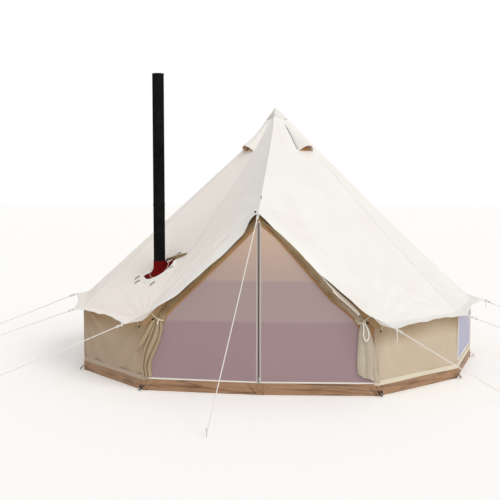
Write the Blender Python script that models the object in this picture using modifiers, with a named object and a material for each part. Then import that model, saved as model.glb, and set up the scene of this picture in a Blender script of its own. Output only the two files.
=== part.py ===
"""Bell-shaped hot tent: canvas roof and walls, doorway, poles, stove and guy ropes.

Metres, +Z up. The origin is on the ground at the foot of the centre pole and the doorway faces -Y.
A bearing is the turn about +Z from -Y towards +X; corner k of the tent is at k twelfths of a turn.
"""
import bpy
import bmesh
from math import atan, atan2, cos, pi, sin, sqrt, tan
from mathutils import Matrix, Vector

# Cloth and clearances
canvas = 0.002              # thickness of roof and wall canvas
mesh_cloth = 0.001          # thickness of the insect mesh
sheet = 0.002               # thickness of the groundsheet
air = 0.0003                # gap between pieces that touch
seam_inset = 0.0008         # each gore stops this far short of its hip seam
ridge_inset = 0.0020        # and this far short of the sharp front ridge
wall_inset = 0.00075        # each wall panel stops this far short of its corner
overrun = 0.02              # how far a cutter runs past what it cuts

# Roundness of turned pieces
round_sides = 24
thin_sides = 12
crease_angle = 0.6          # a sharper edge than this isn't smoothed
merge_distance = 0.00005

# Plan and roof
corners = 12
base_radius = 2.0           # centre to a wall corner
door_setback = 0.20         # the front corner is drawn in, so the doorway is nearly flat
wall_height = 0.60
rim_height = 0.10
cone_height = 2.40          # where the straight hips would meet
ridge_height = 2.42         # where the straight front ridge would meet the pole
peak_height = 2.53
peak_reach = 0.45           # the roof steepens towards the peak inside this radius
crown_radius = 0.045        # the gores end here, under the peak cap
ridge_setback = 0.34        # the front ridge ends over the door pole, this far inside the wall
ridge_end_height = 1.595
awning_reach = 0.15         # from the door pole to the point of the awning
awning_drop = 0.075
eave_drop = 0.015
eave_reach = 0.13           # overhang at an ordinary corner
door_eave_reach = 0.226     # overhang at the two corners beside the doorway
front_eave_reach = 0.09
side_eave_reach = 0.14
hem_lift = 0.012            # the hem rises between two corners
hem_draw_share = 0.35       # and is drawn in by this share of the overhang
overhang_shares = (0.5, 1)
run_shares = (0, 0.03, 0.07, 0.12, 0.21, 0.45, 0.72, 1)
seam_step_share = 0.01      # step used to find a seam's direction
ridge_columns = 8
gore_columns = 4
cap_radius = 0.085
cap_lift = 0.0008

# Vents, each in the middle of the gore beside a front gore
vent_gore = 1.5             # seams from the front
vent_top_radius = 0.088     # centre to the top of the hood
vent_mouth_radius = 0.343
vent_half_width = 0.084
vent_tip_share = 0.22       # width at the top of the hood
vent_height = 0.045
vent_hole_half_width = 0.045
vent_hole_length = 0.09
vent_hole_share = 0.72      # how much of the hole's length lies inside the mouth
vent_slope_shares = (0.10, 0.25)
vent_rows = 4
vent_columns = 8
vent_lift = 0.0006

# Poles
pole_radius = 0.019
pole_wall = 0.0015
pole_joint_height = 1.25
spigot_length = 0.08
spigot_clearance = 0.0002
foot_radius = 0.04
foot_height = 0.008
door_pole_radius = 0.0125
door_pole_setback = 0.035   # from the wall corner in to the pole
door_pole_gap = 0.0009      # from the pole to the canvas over it
apex_piece_share = 0.16     # how much of the slope the apex piece covers
elbow_bend = 0.03
bend_steps = 4

# Doorway
jamb_width = 0.043
leaf_top_height = 1.46
leaf_side_height = 0.56
leaf_centre_gap = 0.0006
leaf_jamb_gap = 0.0008
door_cloth_gap = 0.0005
slider_width = 0.014
slider_depth = 0.006
slider_height = 0.03
slider_start = 0.135

# Stove and pipe
pipe_setback = 0.474        # from the wall corners' circle in to the pipe
pipe_turn_share = -1.3025   # the pipe's bearing, in turns from one corner to the next
pipe_radius = 0.052
pipe_wall = 0.0015
pipe_top = 2.74
pipe_joint_height = 1.55
pipe_joint_overlap = 0.04
jack_length = 0.35
jack_width = 0.27
jack_thickness = 0.003
jack_slot_length = 0.25
jack_slot_width = 0.19
collar_height = 0.075
collar_wall = 0.003
jack_turn = 0.806           # the long side of the patch, turned from level towards the peak
flap_length = 0.38
flap_width = 0.15
flap_offset = 0.085         # fold of the rain flap behind the pipe
jack_gore_share = -1.5      # the jack's gore, in turns from one corner to the next
ellipse_sides = 32
stove_length = 0.38
stove_width = 0.25
stove_height = 0.25
stove_wall = 0.004
stove_leg = 0.165
stove_leg_radius = 0.010
stove_leg_inset = 0.03
stove_end = 0.085           # pipe axis to the end of the stove
stove_collar_height = 0.03
stove_door_width = 0.19
stove_door_height = 0.17
stove_door_thickness = 0.006
stove_door_lap = 0.012
stove_hinge_radius = 0.005
hinge_barrel_share = 0.9    # of the door's height
knob_radius = 0.009
knob_length = 0.035
knob_place_share = 0.72     # of the way from the door's middle to its free edge
damper_height = 0.62
damper_thickness = 0.003
damper_width_share = 0.95   # of the pipe's bore
damper_rod_radius = 0.003
damper_clearance = 0.0005
damper_handle_reach = 0.05  # from the pipe to the handle
damper_tail = 0.006         # the rod's other end stands out this far
damper_handle_length = 0.03

# Windows in the third wall panels
window_margin = 0.05
window_bottom = 0.16
window_top = 0.555

# Guy ropes and pegs
rope_radius = 0.004
rope_steps = 4
peg_radius = 0.004
peg_height = 0.055
peg_hook = 0.014
guy_routes = {
    "front": ((-0.0008, -1.8135, 1.5190), (-0.125, -2.407, 0.765), (-0.249, -3.000, 0.030)),
    "left_1": ((-1.1158, -1.9282, 0.5990), (-1.808, -2.039, 0.307), (-2.500, -2.150, 0.030)),
    "left_2": ((-1.8108, -1.0452, 0.5840), (-2.630, -1.273, 0.298), (-3.450, -1.500, 0.030)),
    "left_3": ((-2.1408, 0.0002, 0.5840), (-2.845, 0.145, 0.299), (-3.550, 0.290, 0.030)),
    "right_1": ((1.1170, -1.9277, 0.5990), (1.593, -1.914, 0.309), (2.070, -1.900, 0.030)),
    "right_2": ((1.8110, -1.0451, 0.5840), (2.596, -1.163, 0.298), (3.380, -1.280, 0.030)),
    "right_3": ((2.1406, 0.0000, 0.5840), (2.770, 0.050, 0.300), (3.400, 0.100, 0.030)),
    "right_4": ((1.8451, 1.0654, 0.5840), (2.588, 1.573, 0.298), (3.330, 2.080, 0.030)),
}

# Canvas door leaf
leaf_depth = 0.058
leaf_fold_count = 3
leaf_column_count = 13
leaf_row_steps = 2
leaf_fold_share = 0.62
leaf_edge_share = 0.25      # depth of the cloth at its two edges
leaf_rise_share = 5         # and how fast it grows from there

# Rows of inner edge, outer edge and depth, down the roll and then down the curtain,
# as shares of half the base radius, of the leaf's height and of its depth
leaf_section_shares = (
    (0.018, 0.976, 0.030, 0.996, 0.25),
    (0.140, 0.862, 0.165, 0.915, 0.45),
    (0.290, 0.745, 0.325, 0.816, 0.62),
    (0.440, 0.630, 0.480, 0.722, 0.76),
    (0.590, 0.532, 0.630, 0.622, 0.78),
    (0.715, 0.466, 0.755, 0.542, 0.66),
    (0.785, 0.440, 0.822, 0.488, 0.52),
    (0.802, 0.424, 0.858, 0.452, 0.46),
)
curtain_section_shares = {
    "left": (
        (0.790, 0.408, 0.872, 0.408, 0.55),
        (0.772, 0.356, 0.905, 0.356, 0.80),
        (0.775, 0.290, 0.975, 0.290, 0.92),
        (0.800, 0.226, 1.035, 0.226, 0.95),
        (0.838, 0.178, 1.020, 0.178, 0.90),
        (0.868, 0.125, 0.990, 0.125, 0.88),
        (0.885, 0.078, 0.968, 0.078, 0.85),
    ),
    "right": (
        (0.806, 0.408, 0.885, 0.408, 0.55),
        (0.800, 0.356, 0.935, 0.356, 0.80),
        (0.800, 0.290, 0.985, 0.290, 0.92),
        (0.798, 0.226, 1.025, 0.226, 0.95),
        (0.798, 0.178, 1.042, 0.178, 0.95),
        (0.802, 0.125, 1.052, 0.125, 0.95),
        (0.808, 0.078, 1.058, 0.078, 0.95),
    ),
}

sides = {"right": 1, "left": -1}


def clear_scene():
    for item in list(bpy.data.objects):
        bpy.data.objects.remove(item)


def new_collection(name):
    group = bpy.data.collections.new(name)
    bpy.context.scene.collection.children.link(group)
    return group


def new_material(name, colour, roughness, metallic=0.0):
    made = bpy.data.materials.new(name)
    made.use_nodes = True
    shader = made.node_tree.nodes["Principled BSDF"]
    shader.inputs["Base Color"].default_value = (*colour, 1.0)
    shader.inputs["Roughness"].default_value = roughness
    shader.inputs["Metallic"].default_value = metallic
    return made


def add_object(name, data, look):
    item = bpy.data.objects.new(name, data)
    if look is None:
        cutters.objects.link(item)
        item.hide_render = True
        item.display_type = "WIRE"
    else:
        tent.objects.link(item)
        data.materials.append(look)
    return item


def finish_mesh(shape, name, look, place=None, smooth=False):
    data = bpy.data.meshes.new(name)
    shape.to_mesh(data)
    shape.free()
    if smooth:
        data.shade_smooth()
        data.set_sharp_from_angle(angle=crease_angle)
    item = add_object(name, data, look)
    if place is not None:
        item.matrix_world = place
    return item


def grid_object(name, rows, look, closed=False):
    # Rows run down the cloth and columns run with the bearing, so faces look outwards
    shape = bmesh.new()
    lines = [[shape.verts.new(point) for point in row] for row in rows]
    for upper, lower in zip(lines, lines[1:]):
        count = len(upper)
        for left in range(count if closed else count - 1):
            right = (left + 1) % count
            shape.faces.new((upper[left], lower[left], lower[right], upper[right]))
    return finish_mesh(shape, name, look)


def thicken(item, thickness, outwards=False):
    shell = item.modifiers.new("thickness", "SOLIDIFY")
    shell.thickness = thickness
    shell.offset = 1 if outwards else -1
    shell.use_even_offset = True
    return item


def combine(item, other, operation):
    step = item.modifiers.new(operation.lower(), "BOOLEAN")
    step.object = other
    step.operation = operation
    step.solver = "EXACT"
    return item


def box_object(name, size, place, look=None):
    shape = bmesh.new()
    bmesh.ops.create_cube(shape, size=1.0)
    bmesh.ops.scale(shape, vec=size, verts=shape.verts)
    return finish_mesh(shape, name, look, place)


def rod_object(name, radius, length, place, look=None, segments=round_sides, top_radius=None):
    shape = bmesh.new()
    bmesh.ops.create_cone(shape, cap_ends=True, segments=segments, radius1=radius,
                          radius2=radius if top_radius is None else top_radius, depth=length)
    return finish_mesh(shape, name, look, place, smooth=True)


def turned_object(name, profile, place, look):
    # The closed profile is (radius, height), down its outer side first
    shape = bmesh.new()
    points = [shape.verts.new((radius, 0.0, height)) for radius, height in profile]
    for first, second in zip(points, points[1:] + points[:1]):
        shape.edges.new((first, second))
    item = finish_mesh(shape, name, look, place)
    spin = item.modifiers.new("turn", "SCREW")
    spin.steps = round_sides
    spin.render_steps = round_sides
    spin.use_smooth_shade = True
    spin.use_merge_vertices = True
    spin.merge_threshold = merge_distance
    return item


def tube_object(name, points, radius, look, resolution=2):
    data = bpy.data.curves.new(name, "CURVE")
    data.dimensions = "3D"
    data.bevel_depth = radius
    data.bevel_resolution = resolution
    data.use_fill_caps = True
    line = data.splines.new("POLY")
    line.points.add(len(points) - 1)
    for spot, point in zip(line.points, points):
        spot.co = (*point, 1.0)
    return add_object(name, data, look)


def plate_object(name, outline, thickness, place, look):
    data = bpy.data.curves.new(name, "CURVE")
    data.dimensions = "2D"
    data.fill_mode = "BOTH"
    data.extrude = thickness / 2
    line = data.splines.new("POLY")
    line.points.add(len(outline) - 1)
    line.use_cyclic_u = True
    for spot, point in zip(line.points, outline):
        spot.co = (point[0], point[1], 0.0, 1.0)
    item = add_object(name, data, look)
    item.matrix_world = place
    return item


def placed(origin, first, second):
    # A frame whose X is first and whose Z is first x second
    first = Vector(first).normalized()
    third = first.cross(Vector(second)).normalized()
    second = third.cross(first)
    turn = Matrix((first, second, third)).transposed().to_4x4()
    return Matrix.Translation(Vector(origin)) @ turn


def bearing_point(turn, radius, height):
    return Vector((radius * sin(turn), -radius * cos(turn), height))


def corner_turn(index):
    return index * 2 * pi / corners


def wall_corner(index, height):
    radius = base_radius - door_setback if index % corners == 0 else base_radius
    return bearing_point(corner_turn(index), radius, height)


def knee_point(index):
    # Where a seam reaches the door pole or the top of the wall
    if index == 0:
        return bearing_point(0.0, base_radius - ridge_setback, ridge_end_height)
    return bearing_point(corner_turn(index), base_radius, wall_height)


def eave_point(index):
    if index == 0:
        return knee_point(0) + Vector((0.0, -awning_reach, -awning_drop))
    reach = {1: door_eave_reach, 2: front_eave_reach, 3: side_eave_reach}.get(abs(index), eave_reach)
    drop = 0.0 if abs(index) == 1 else eave_drop
    return bearing_point(corner_turn(index), base_radius + reach, wall_height - drop)


def seam_reach(index):
    return base_radius - ridge_setback if index == 0 else base_radius


def seam_height(index, radius):
    # Straight from the pole to the knee, with the rise towards the peak added
    knee = knee_point(index)
    reach = seam_reach(index)
    start = ridge_height if index == 0 else cone_height
    height = start + (knee.z - start) * radius / reach
    if radius < peak_reach:
        height += (peak_height - start) * (1 - radius / peak_reach) ** 2
    return height


def seam_point(index, share):
    radius = crown_radius + share * (seam_reach(index) - crown_radius)
    return bearing_point(corner_turn(index), radius, seam_height(index, radius))


def hip_height(radius):
    # Height of a hip as the gores have it, straight between their rows
    rows = [seam_point(1, share) for share in run_shares]
    reaches = [sqrt(point.x ** 2 + point.y ** 2) for point in rows]
    for index in range(len(rows) - 1):
        if radius <= reaches[index + 1]:
            part = (radius - reaches[index]) / (reaches[index + 1] - reaches[index])
            return rows[index].z + part * (rows[index + 1].z - rows[index].z)
    return wall_height


def inset_row(first, last, along_first, along_last, inset_first, inset_last):
    # Draws the ends of a row in, square to the seams that it meets
    across = (last - first).normalized()
    lean_first = across.cross(along_first.normalized()).length
    lean_last = across.cross(along_last.normalized()).length
    return first + across * inset_first / lean_first, last - across * inset_last / lean_last


def gore_rows(first, last, columns):
    insets = [ridge_inset if index == 0 else seam_inset for index in (first, last)]
    rows = []
    for share in run_shares:
        ends = [seam_point(index, share) for index in (first, last)]
        along = [seam_point(index, min(1.0, share + seam_step_share))
                 - seam_point(index, share - seam_step_share) for index in (first, last)]
        start, stop = inset_row(*ends, *along, *insets)
        rows.append([start.lerp(stop, step / columns) for step in range(columns + 1)])
    overhangs = [eave_point(index) - knee_point(index) for index in (first, last)]
    at_door = 0 in (first, last)
    for part in overhang_shares:
        row = []
        for step in range(columns + 1):
            share = step / columns
            weight = share
            if at_door:
                weight = 1 - (1 - share) ** 3 if last == 0 else share ** 3
            arch = 4 * share * (1 - share)
            over = overhangs[0].lerp(overhangs[1], weight) * (1 - hem_draw_share * arch)
            if not at_door:
                over = over + Vector((0, 0, hem_lift * arch))
            row.append(rows[len(run_shares) - 1][step] + over * part)
        ends = row[0], row[-1]
        start, stop = inset_row(*ends, *overhangs, *[inset * part for inset in insets])
        row[0], row[-1] = start, stop
        rows.append(row)
    return rows


def gore_name(first):
    if first in (0, -1):
        return "roof_front_right" if first == 0 else "roof_front_left"
    return f"roof_right_{first}" if first > 0 else f"roof_left_{-first - 1}"


def make_roof():
    half = corners // 2
    for first in range(-half, half):
        columns = ridge_columns if first in (0, -1) else gore_columns
        item = grid_object(gore_name(first), gore_rows(first, first + 1, columns), roof_canvas)
        thicken(item, canvas)


def make_peak_cap():
    rows = []
    for radius in (crown_radius / 2, crown_radius, cap_radius):
        rows.append([bearing_point(corner_turn(index), radius,
                                   seam_height(index if index == 0 else 1, radius) + cap_lift)
                     for index in range(corners)])
    item = grid_object("peak_cap", rows, trim_canvas, closed=True)
    shape = bmesh.new()
    shape.from_mesh(item.data)
    top = shape.verts.new((0.0, 0.0, peak_height + cap_lift))
    shape.verts.ensure_lookup_table()
    for index in range(corners):
        shape.faces.new((top, shape.verts[index], shape.verts[(index + 1) % corners]))
    shape.to_mesh(item.data)
    shape.free()
    thicken(item, canvas, outwards=True)


def vent_frame(side):
    # Down the gore's middle, level across it, and out of the roof
    turn = corner_turn(vent_gore * side)
    higher, lower = [seam_point(1, share) for share in vent_slope_shares]
    down = lower - higher
    slope = atan2(-down.z, sqrt(down.x ** 2 + down.y ** 2) * cos(pi / corners))
    along = bearing_point(turn, cos(slope), -sin(slope))
    across = Vector((cos(turn), sin(turn), 0.0))
    return along, across, across.cross(along) * -1


def vent_point(side, radius):
    # A point of the gore's middle; the gore is level across
    return bearing_point(corner_turn(vent_gore * side), radius, hip_height(radius / cos(pi / corners)))


def make_vents():
    for name, side in sides.items():
        along, across, out = vent_frame(side)
        rows = []
        for row in range(vent_rows + 1):
            share = row / vent_rows
            radius = vent_top_radius + share * (vent_mouth_radius - vent_top_radius)
            half_width = vent_half_width * (vent_tip_share + (1 - vent_tip_share) * share)
            line = []
            for column in range(vent_columns + 1):
                part = 2 * column / vent_columns - 1
                rise = vent_height * share * (1 - part * part)
                line.append(vent_point(side, radius) + across * part * half_width + out * (rise + vent_lift))
            rows.append(line)
        item = grid_object(f"vent_hood_{name}", rows, trim_canvas)
        thicken(item, canvas, outwards=True)
        spot = vent_point(side, vent_mouth_radius - vent_hole_length * vent_hole_share)
        hole = box_object(f"vent_hole_{name}", (vent_hole_length, 2 * vent_hole_half_width, 4 * overrun),
                          placed(spot, along, across))
        combine(bpy.data.objects[gore_name(1 if side > 0 else -2)], hole, "DIFFERENCE")


def wall_rows(line, top, bottom):
    return [[Vector((point[0], point[1], height)) for point in line] for height in (top, bottom)]


def corner_line(first, last):
    # Wall corners from first to last, drawn in at both ends to clear the next panels
    line = [wall_corner(index, 0.0) for index in range(first, last + 1)]
    start = line[0] + (line[1] - line[0]).normalized() * wall_inset
    stop = line[-1] + (line[-2] - line[-1]).normalized() * wall_inset
    return [start, *line[1:-1], stop]


def door_vector(side):
    return wall_corner(side, 0.0) - wall_corner(0, 0.0)


def door_plane(side):
    # Origin at the front corner, X outwards along the door, Y up
    return placed(wall_corner(0, 0.0), door_vector(side), (0, 0, 1))


def make_walls():
    top = wall_height - canvas - air
    bottom = rim_height + air
    for name, side in sides.items():
        jamb = wall_corner(side, 0.0) - door_vector(side).normalized() * jamb_width
        stop = corner_line(1, 2)[-1]
        line = [jamb, wall_corner(side, 0.0), Vector((side * stop.x, stop.y, 0))]
        build_wall(f"wall_{name}_front", line, side, top, bottom)
        line = [Vector((side * point.x, point.y, 0)) for point in corner_line(2, 3)]
        panel = build_wall(f"wall_{name}_window", line, side, top, bottom)
        make_window(name, line, panel)
        line = [Vector((side * point.x, point.y, 0)) for point in corner_line(3, 5)]
        build_wall(f"wall_{name}_rear", line, side, top, bottom)
    build_wall("wall_back", corner_line(5, 7), 1, top, bottom)


def build_wall(name, line, side, top, bottom):
    if side < 0:
        line = line[::-1]
    return thicken(grid_object(name, wall_rows(line, top, bottom), wall_canvas), canvas)


def make_window(name, line, panel):
    middle = (line[0] + line[1]) / 2
    across = line[1] - line[0]
    width = across.length - 2 * window_margin
    height = window_top - window_bottom
    centre = Vector((middle.x, middle.y, (window_top + window_bottom) / 2))
    place = placed(centre, across, (0, 0, 1))
    hole = box_object(f"window_hole_{name}", (width, height, 2 * overrun), place)
    combine(panel, hole, "DIFFERENCE")
    inward = Vector((-middle.x, -middle.y, 0)).normalized()
    place = Matrix.Translation(inward * canvas / 2) @ place
    half = (width / 2 - air, height / 2 - air)
    outline = [(-half[0], -half[1]), (half[0], -half[1]), (half[0], half[1]), (-half[0], half[1])]
    plate_object(f"window_mesh_{name}", outline, mesh_cloth, place, window_mesh)


def make_groundsheet():
    line = [wall_corner(index, 0.0) for index in range(corners)]
    rows = [[point + Vector((0, 0, height)) for point in line] for height in (rim_height, 0.0)]
    thicken(grid_object("groundsheet_rim", rows, sheet_vinyl, closed=True), sheet)
    inset = (sheet + air) / cos(pi / corners) + air
    outline = [point * (1 - inset / point.length) for point in line]
    place = Matrix.Translation((0, 0, sheet / 2))
    plate_object("groundsheet_floor", [(p.x, p.y) for p in outline], sheet, place, sheet_vinyl)


def make_centre_pole():
    floor = sheet + air
    bore = pole_radius - pole_wall
    foot = Matrix.Translation((0, 0, floor + foot_height / 2))
    rod_object("pole_foot", foot_radius, foot_height, foot, dark_rubber,
               top_radius=foot_radius - foot_height / 2)
    low = floor + foot_height + air
    turned_object("centre_pole_lower",
                  [(pole_radius, pole_joint_height), (pole_radius, low), (bore, low),
                   (bore, pole_joint_height)], Matrix(), pole_steel)
    step = seam_height(1, crown_radius / 2) - peak_height
    cap_slope = -step / (crown_radius / 2)
    top = peak_height - pole_radius / cos(pi / corners) * cap_slope - air
    start = pole_joint_height + air
    spigot = bore - spigot_clearance
    profile = [(pole_radius, top), (pole_radius, start), (spigot, start), (spigot, start - spigot_length),
               (spigot - pole_wall, start - spigot_length), (spigot - pole_wall, top)]
    turned_object("centre_pole_upper", profile, Matrix(), pole_steel)


def bend(points, size):
    # Rounds the middle corner of three points
    first = points[1] + (points[0] - points[1]).normalized() * size
    last = points[1] + (points[2] - points[1]).normalized() * size
    arc = []
    for step in range(bend_steps + 1):
        part = step / bend_steps
        arc.append(first.lerp(points[1], part).lerp(points[1].lerp(last, part), part))
    return [points[0], *arc, points[2]]


def pole_apex():
    # Under the end of the ridge, clear of the two gores that meet there
    ridge = seam_point(0, 1) - seam_point(0, 1 - seam_step_share)
    slope = knee_point(1) - knee_point(0)
    out = slope.cross(ridge).normalized()
    drop = (door_pole_radius + canvas + door_pole_gap) / abs(out.z)
    return knee_point(0) - Vector((0, 0, drop))


def make_door_pole():
    apex = pole_apex()
    shoulders = []
    for name, side in sides.items():
        foot = bearing_point(corner_turn(side), base_radius - door_pole_setback, sheet + air)
        elbow = Vector((foot.x, foot.y, wall_height))
        shoulder = apex.lerp(elbow, apex_piece_share)
        shoulders.append(shoulder)
        end = shoulder + (elbow - shoulder).normalized() * air
        tube_object(f"door_pole_{name}", bend([foot, elbow, end], elbow_bend), door_pole_radius, pole_steel)
    tube_object("door_pole_apex", bend([shoulders[0], apex, shoulders[1]], elbow_bend),
                door_pole_radius, pole_steel)


def make_mesh_doors():
    for name, side in sides.items():
        width = door_vector(side).length - jamb_width - leaf_jamb_gap
        bottom = rim_height + air
        outline = [(leaf_centre_gap, bottom), (width, bottom), (width, leaf_side_height),
                   (leaf_centre_gap, leaf_top_height)]
        plane = door_plane(side)
        inward = Vector((0, 1, 0)) * (mesh_cloth / 2 + air)
        item = plate_object(f"mesh_door_{name}", outline, mesh_cloth, Matrix.Translation(inward) @ plane,
                            door_mesh)
        hinge = bpy.data.objects.new(f"mesh_door_{name}_hinge", None)
        tent.objects.link(hinge)
        hinge.location = plane @ Vector((width, 0, 0)) + inward
        bpy.context.view_layer.update()
        kept = item.matrix_world.copy()
        item.parent = hinge
        item.matrix_parent_inverse = hinge.matrix_world.inverted()
        item.matrix_world = kept
    spot = (leaf_centre_gap + slider_width / 2, slider_start, slider_depth / 2)
    block = box_object("door_zip_slider", (slider_width, slider_height, slider_depth),
                       door_plane(1) @ Matrix.Translation(spot), zip_metal)
    edge = block.modifiers.new("rounding", "BEVEL")
    edge.width = slider_depth / 4
    edge.segments = 2


def leaf_section(plane, row, folds):
    # The cloth's folded front from its inner to its outer edge, then its flat back
    inner = Vector((row[0] * base_radius / 2, row[1] * leaf_top_height))
    outer = Vector((row[2] * base_radius / 2, row[3] * leaf_top_height))
    depth = row[4] * leaf_depth
    front = []
    back = []
    for column in range(leaf_column_count):
        part = column / (leaf_column_count - 1)
        spot = inner.lerp(outer, part)
        edge = min(1.0, leaf_rise_share * min(part, 1 - part) + leaf_edge_share)
        wave = 1 - leaf_fold_share * folds * (0.5 + 0.5 * cos(2 * pi * leaf_fold_count * part))
        front.append((spot, door_cloth_gap + depth * edge * wave))
        back.append((spot, door_cloth_gap))
    out = Vector((0, -1, 0))
    return [plane @ Vector((spot.x, spot.y, 0)) + out * lift for spot, lift in front + back[::-1]]


def smooth_rows(rows, steps):
    # Catmull-Rom between the rows of a table
    made = []
    for index in range(len(rows) - 1):
        a, b = rows[max(0, index - 1)], rows[index]
        c, d = rows[index + 1], rows[min(len(rows) - 1, index + 2)]
        for step in range(steps):
            t = step / steps
            made.append([0.5 * (2 * q + (r - p) * t + (2 * p - 5 * q + 4 * r - s) * t * t
                                + (3 * q - p - 3 * r + s) * t ** 3) for p, q, r, s in zip(a, b, c, d)])
    made.append(list(rows[-1]))
    return made


def make_door_leaves():
    for name, side in sides.items():
        plane = door_plane(side)
        rows = smooth_rows(leaf_section_shares + curtain_section_shares[name], leaf_row_steps)
        shape = bmesh.new()
        rings = []
        for index, row in enumerate(rows):
            folds = index / (len(rows) - 1)
            rings.append([shape.verts.new(point) for point in leaf_section(plane, row, folds)])
        for upper, lower in zip(rings, rings[1:]):
            for start in range(len(upper)):
                stop = (start + 1) % len(upper)
                shape.faces.new((upper[start], upper[stop], lower[stop], lower[start]))
        shape.faces.new(rings[0][::-1])
        shape.faces.new(rings[-1])
        bmesh.ops.recalc_face_normals(shape, faces=shape.faces)
        finish_mesh(shape, f"door_leaf_{name}", wall_canvas)


def pipe_axis():
    return bearing_point(corner_turn(pipe_turn_share), base_radius - pipe_setback, 0.0)


def jack_plane():
    # The roof plane beside the pipe: level across, up-slope, outwards
    turn = corner_turn(jack_gore_share)
    steep = atan((cone_height - wall_height) / base_radius / cos(pi / corners))
    across = Vector((cos(turn), sin(turn), 0.0))
    up = bearing_point(turn, -cos(steep), sin(steep))
    foot = pipe_axis()
    reach = foot.dot(bearing_point(turn, 1, 0))
    foot.z = cone_height - tan(steep) * reach
    return placed(foot, across, up)


def ellipse(length, width):
    turns = [2 * pi * step / ellipse_sides for step in range(ellipse_sides)]
    return [(length / 2 * cos(turn), width / 2 * sin(turn)) for turn in turns]


def prism_object(name, outline, low, high, place, look=None):
    shape = bmesh.new()
    bottom = [shape.verts.new((x, y, low)) for x, y in outline]
    face = shape.faces.new(bottom)
    grown = bmesh.ops.extrude_face_region(shape, geom=[face])
    moved = [item for item in grown["geom"] if isinstance(item, bmesh.types.BMVert)]
    bmesh.ops.translate(shape, vec=(0, 0, high - low), verts=moved)
    bmesh.ops.recalc_face_normals(shape, faces=shape.faces)
    return finish_mesh(shape, name, look, place)


def make_stove_jack():
    plane = jack_plane() @ Matrix.Rotation(jack_turn, 4, "Z")
    upright = Matrix.Translation(plane.translation)
    slot = prism_object("jack_slot", ellipse(jack_slot_length, jack_slot_width), -overrun, overrun, plane)
    combine(bpy.data.objects["roof_left_1"], slot, "DIFFERENCE")
    patch = prism_object("stove_jack", ellipse(jack_length, jack_width), air, air + jack_thickness,
                         plane, jack_cloth)
    outer = pipe_radius + damper_clearance + collar_wall
    collar = rod_object("jack_collar", outer, collar_height * 2, upright)
    below = 4 * jack_length
    lower = box_object("jack_collar_below", (below, below, below),
                       plane @ Matrix.Translation((0, 0, air - below / 2)))
    combine(collar, lower, "DIFFERENCE")
    combine(patch, collar, "UNION")
    bore = rod_object("jack_bore", pipe_radius + damper_clearance, collar_height * 4, upright)
    combine(patch, bore, "DIFFERENCE")
    level = jack_thickness + 2 * air + canvas / 2
    half = [point for point in ellipse(flap_length, 2 * flap_width) if point[1] > -air]
    place = plane @ Matrix.Translation((0, flap_offset, level))
    plate_object("jack_rain_flap", half, canvas, place, roof_canvas)


def stove_frame():
    # Origin on the floor under the pipe, X along the stove away from the doorway
    turn = corner_turn(jack_gore_share)
    along = Vector((-cos(turn), -sin(turn), 0.0))
    foot = pipe_axis() + Vector((0, 0, sheet + air))
    return placed(foot, along, Vector((0, 0, 1)).cross(along))


def make_stove():
    frame = stove_frame()
    middle = stove_length / 2 - stove_end
    level = stove_leg + stove_height / 2
    body = box_object("stove_body", (stove_length, stove_width, stove_height),
                      frame @ Matrix.Translation((middle, 0, level)), stove_steel)
    hollow = box_object("stove_hollow", (stove_length - 2 * stove_wall, stove_width - 2 * stove_wall,
                                         stove_height - 2 * stove_wall),
                        frame @ Matrix.Translation((middle, 0, level)))
    mouth_width = stove_door_width - 2 * stove_door_lap
    mouth_height = stove_door_height - 2 * stove_door_lap
    face = stove_length - stove_end
    mouth = box_object("stove_mouth", (4 * stove_wall, mouth_width, mouth_height),
                       frame @ Matrix.Translation((face, 0, level)))
    flue_outer = pipe_radius - pipe_wall - air
    flue = rod_object("stove_flue", flue_outer, stove_collar_height + stove_wall,
                      frame @ Matrix.Translation((0, 0, stove_leg + stove_height
                                                  + (stove_collar_height - stove_wall) / 2)))
    bore = rod_object("stove_flue_bore", flue_outer - stove_wall, 4 * stove_collar_height,
                      frame @ Matrix.Translation((0, 0, stove_leg + stove_height)))
    for x in (-stove_end + stove_leg_inset, face - stove_leg_inset):
        for y in (-1, 1):
            spot = (x, y * (stove_width / 2 - stove_leg_inset), (stove_leg + stove_wall / 2) / 2)
            leg = rod_object("stove_leg", stove_leg_radius, stove_leg + stove_wall / 2,
                             frame @ Matrix.Translation(spot), segments=thin_sides)
            combine(body, leg, "UNION")
    combine(body, flue, "UNION")
    for cutter in (hollow, mouth, bore):
        combine(body, cutter, "DIFFERENCE")
    make_stove_door(frame, face + air + stove_door_thickness / 2, level)


def make_stove_door(frame, x, level):
    door = box_object("stove_door", (stove_door_thickness, stove_door_width, stove_door_height),
                      frame @ Matrix.Translation((x, 0, level)), stove_steel)
    pin_y = stove_door_width / 2
    barrel = rod_object("stove_door_barrel", stove_hinge_radius, stove_door_height * hinge_barrel_share,
                        frame @ Matrix.Translation((x + stove_hinge_radius / 2, pin_y, level)),
                        segments=thin_sides)
    turn = Matrix.Rotation(pi / 2, 4, "Y")
    spot = (x + knob_length / 2, -pin_y * knob_place_share, level)
    knob = rod_object("stove_door_knob", knob_radius, knob_length,
                      frame @ Matrix.Translation(spot) @ turn, segments=thin_sides)
    combine(door, barrel, "UNION")
    combine(door, knob, "UNION")


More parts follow.
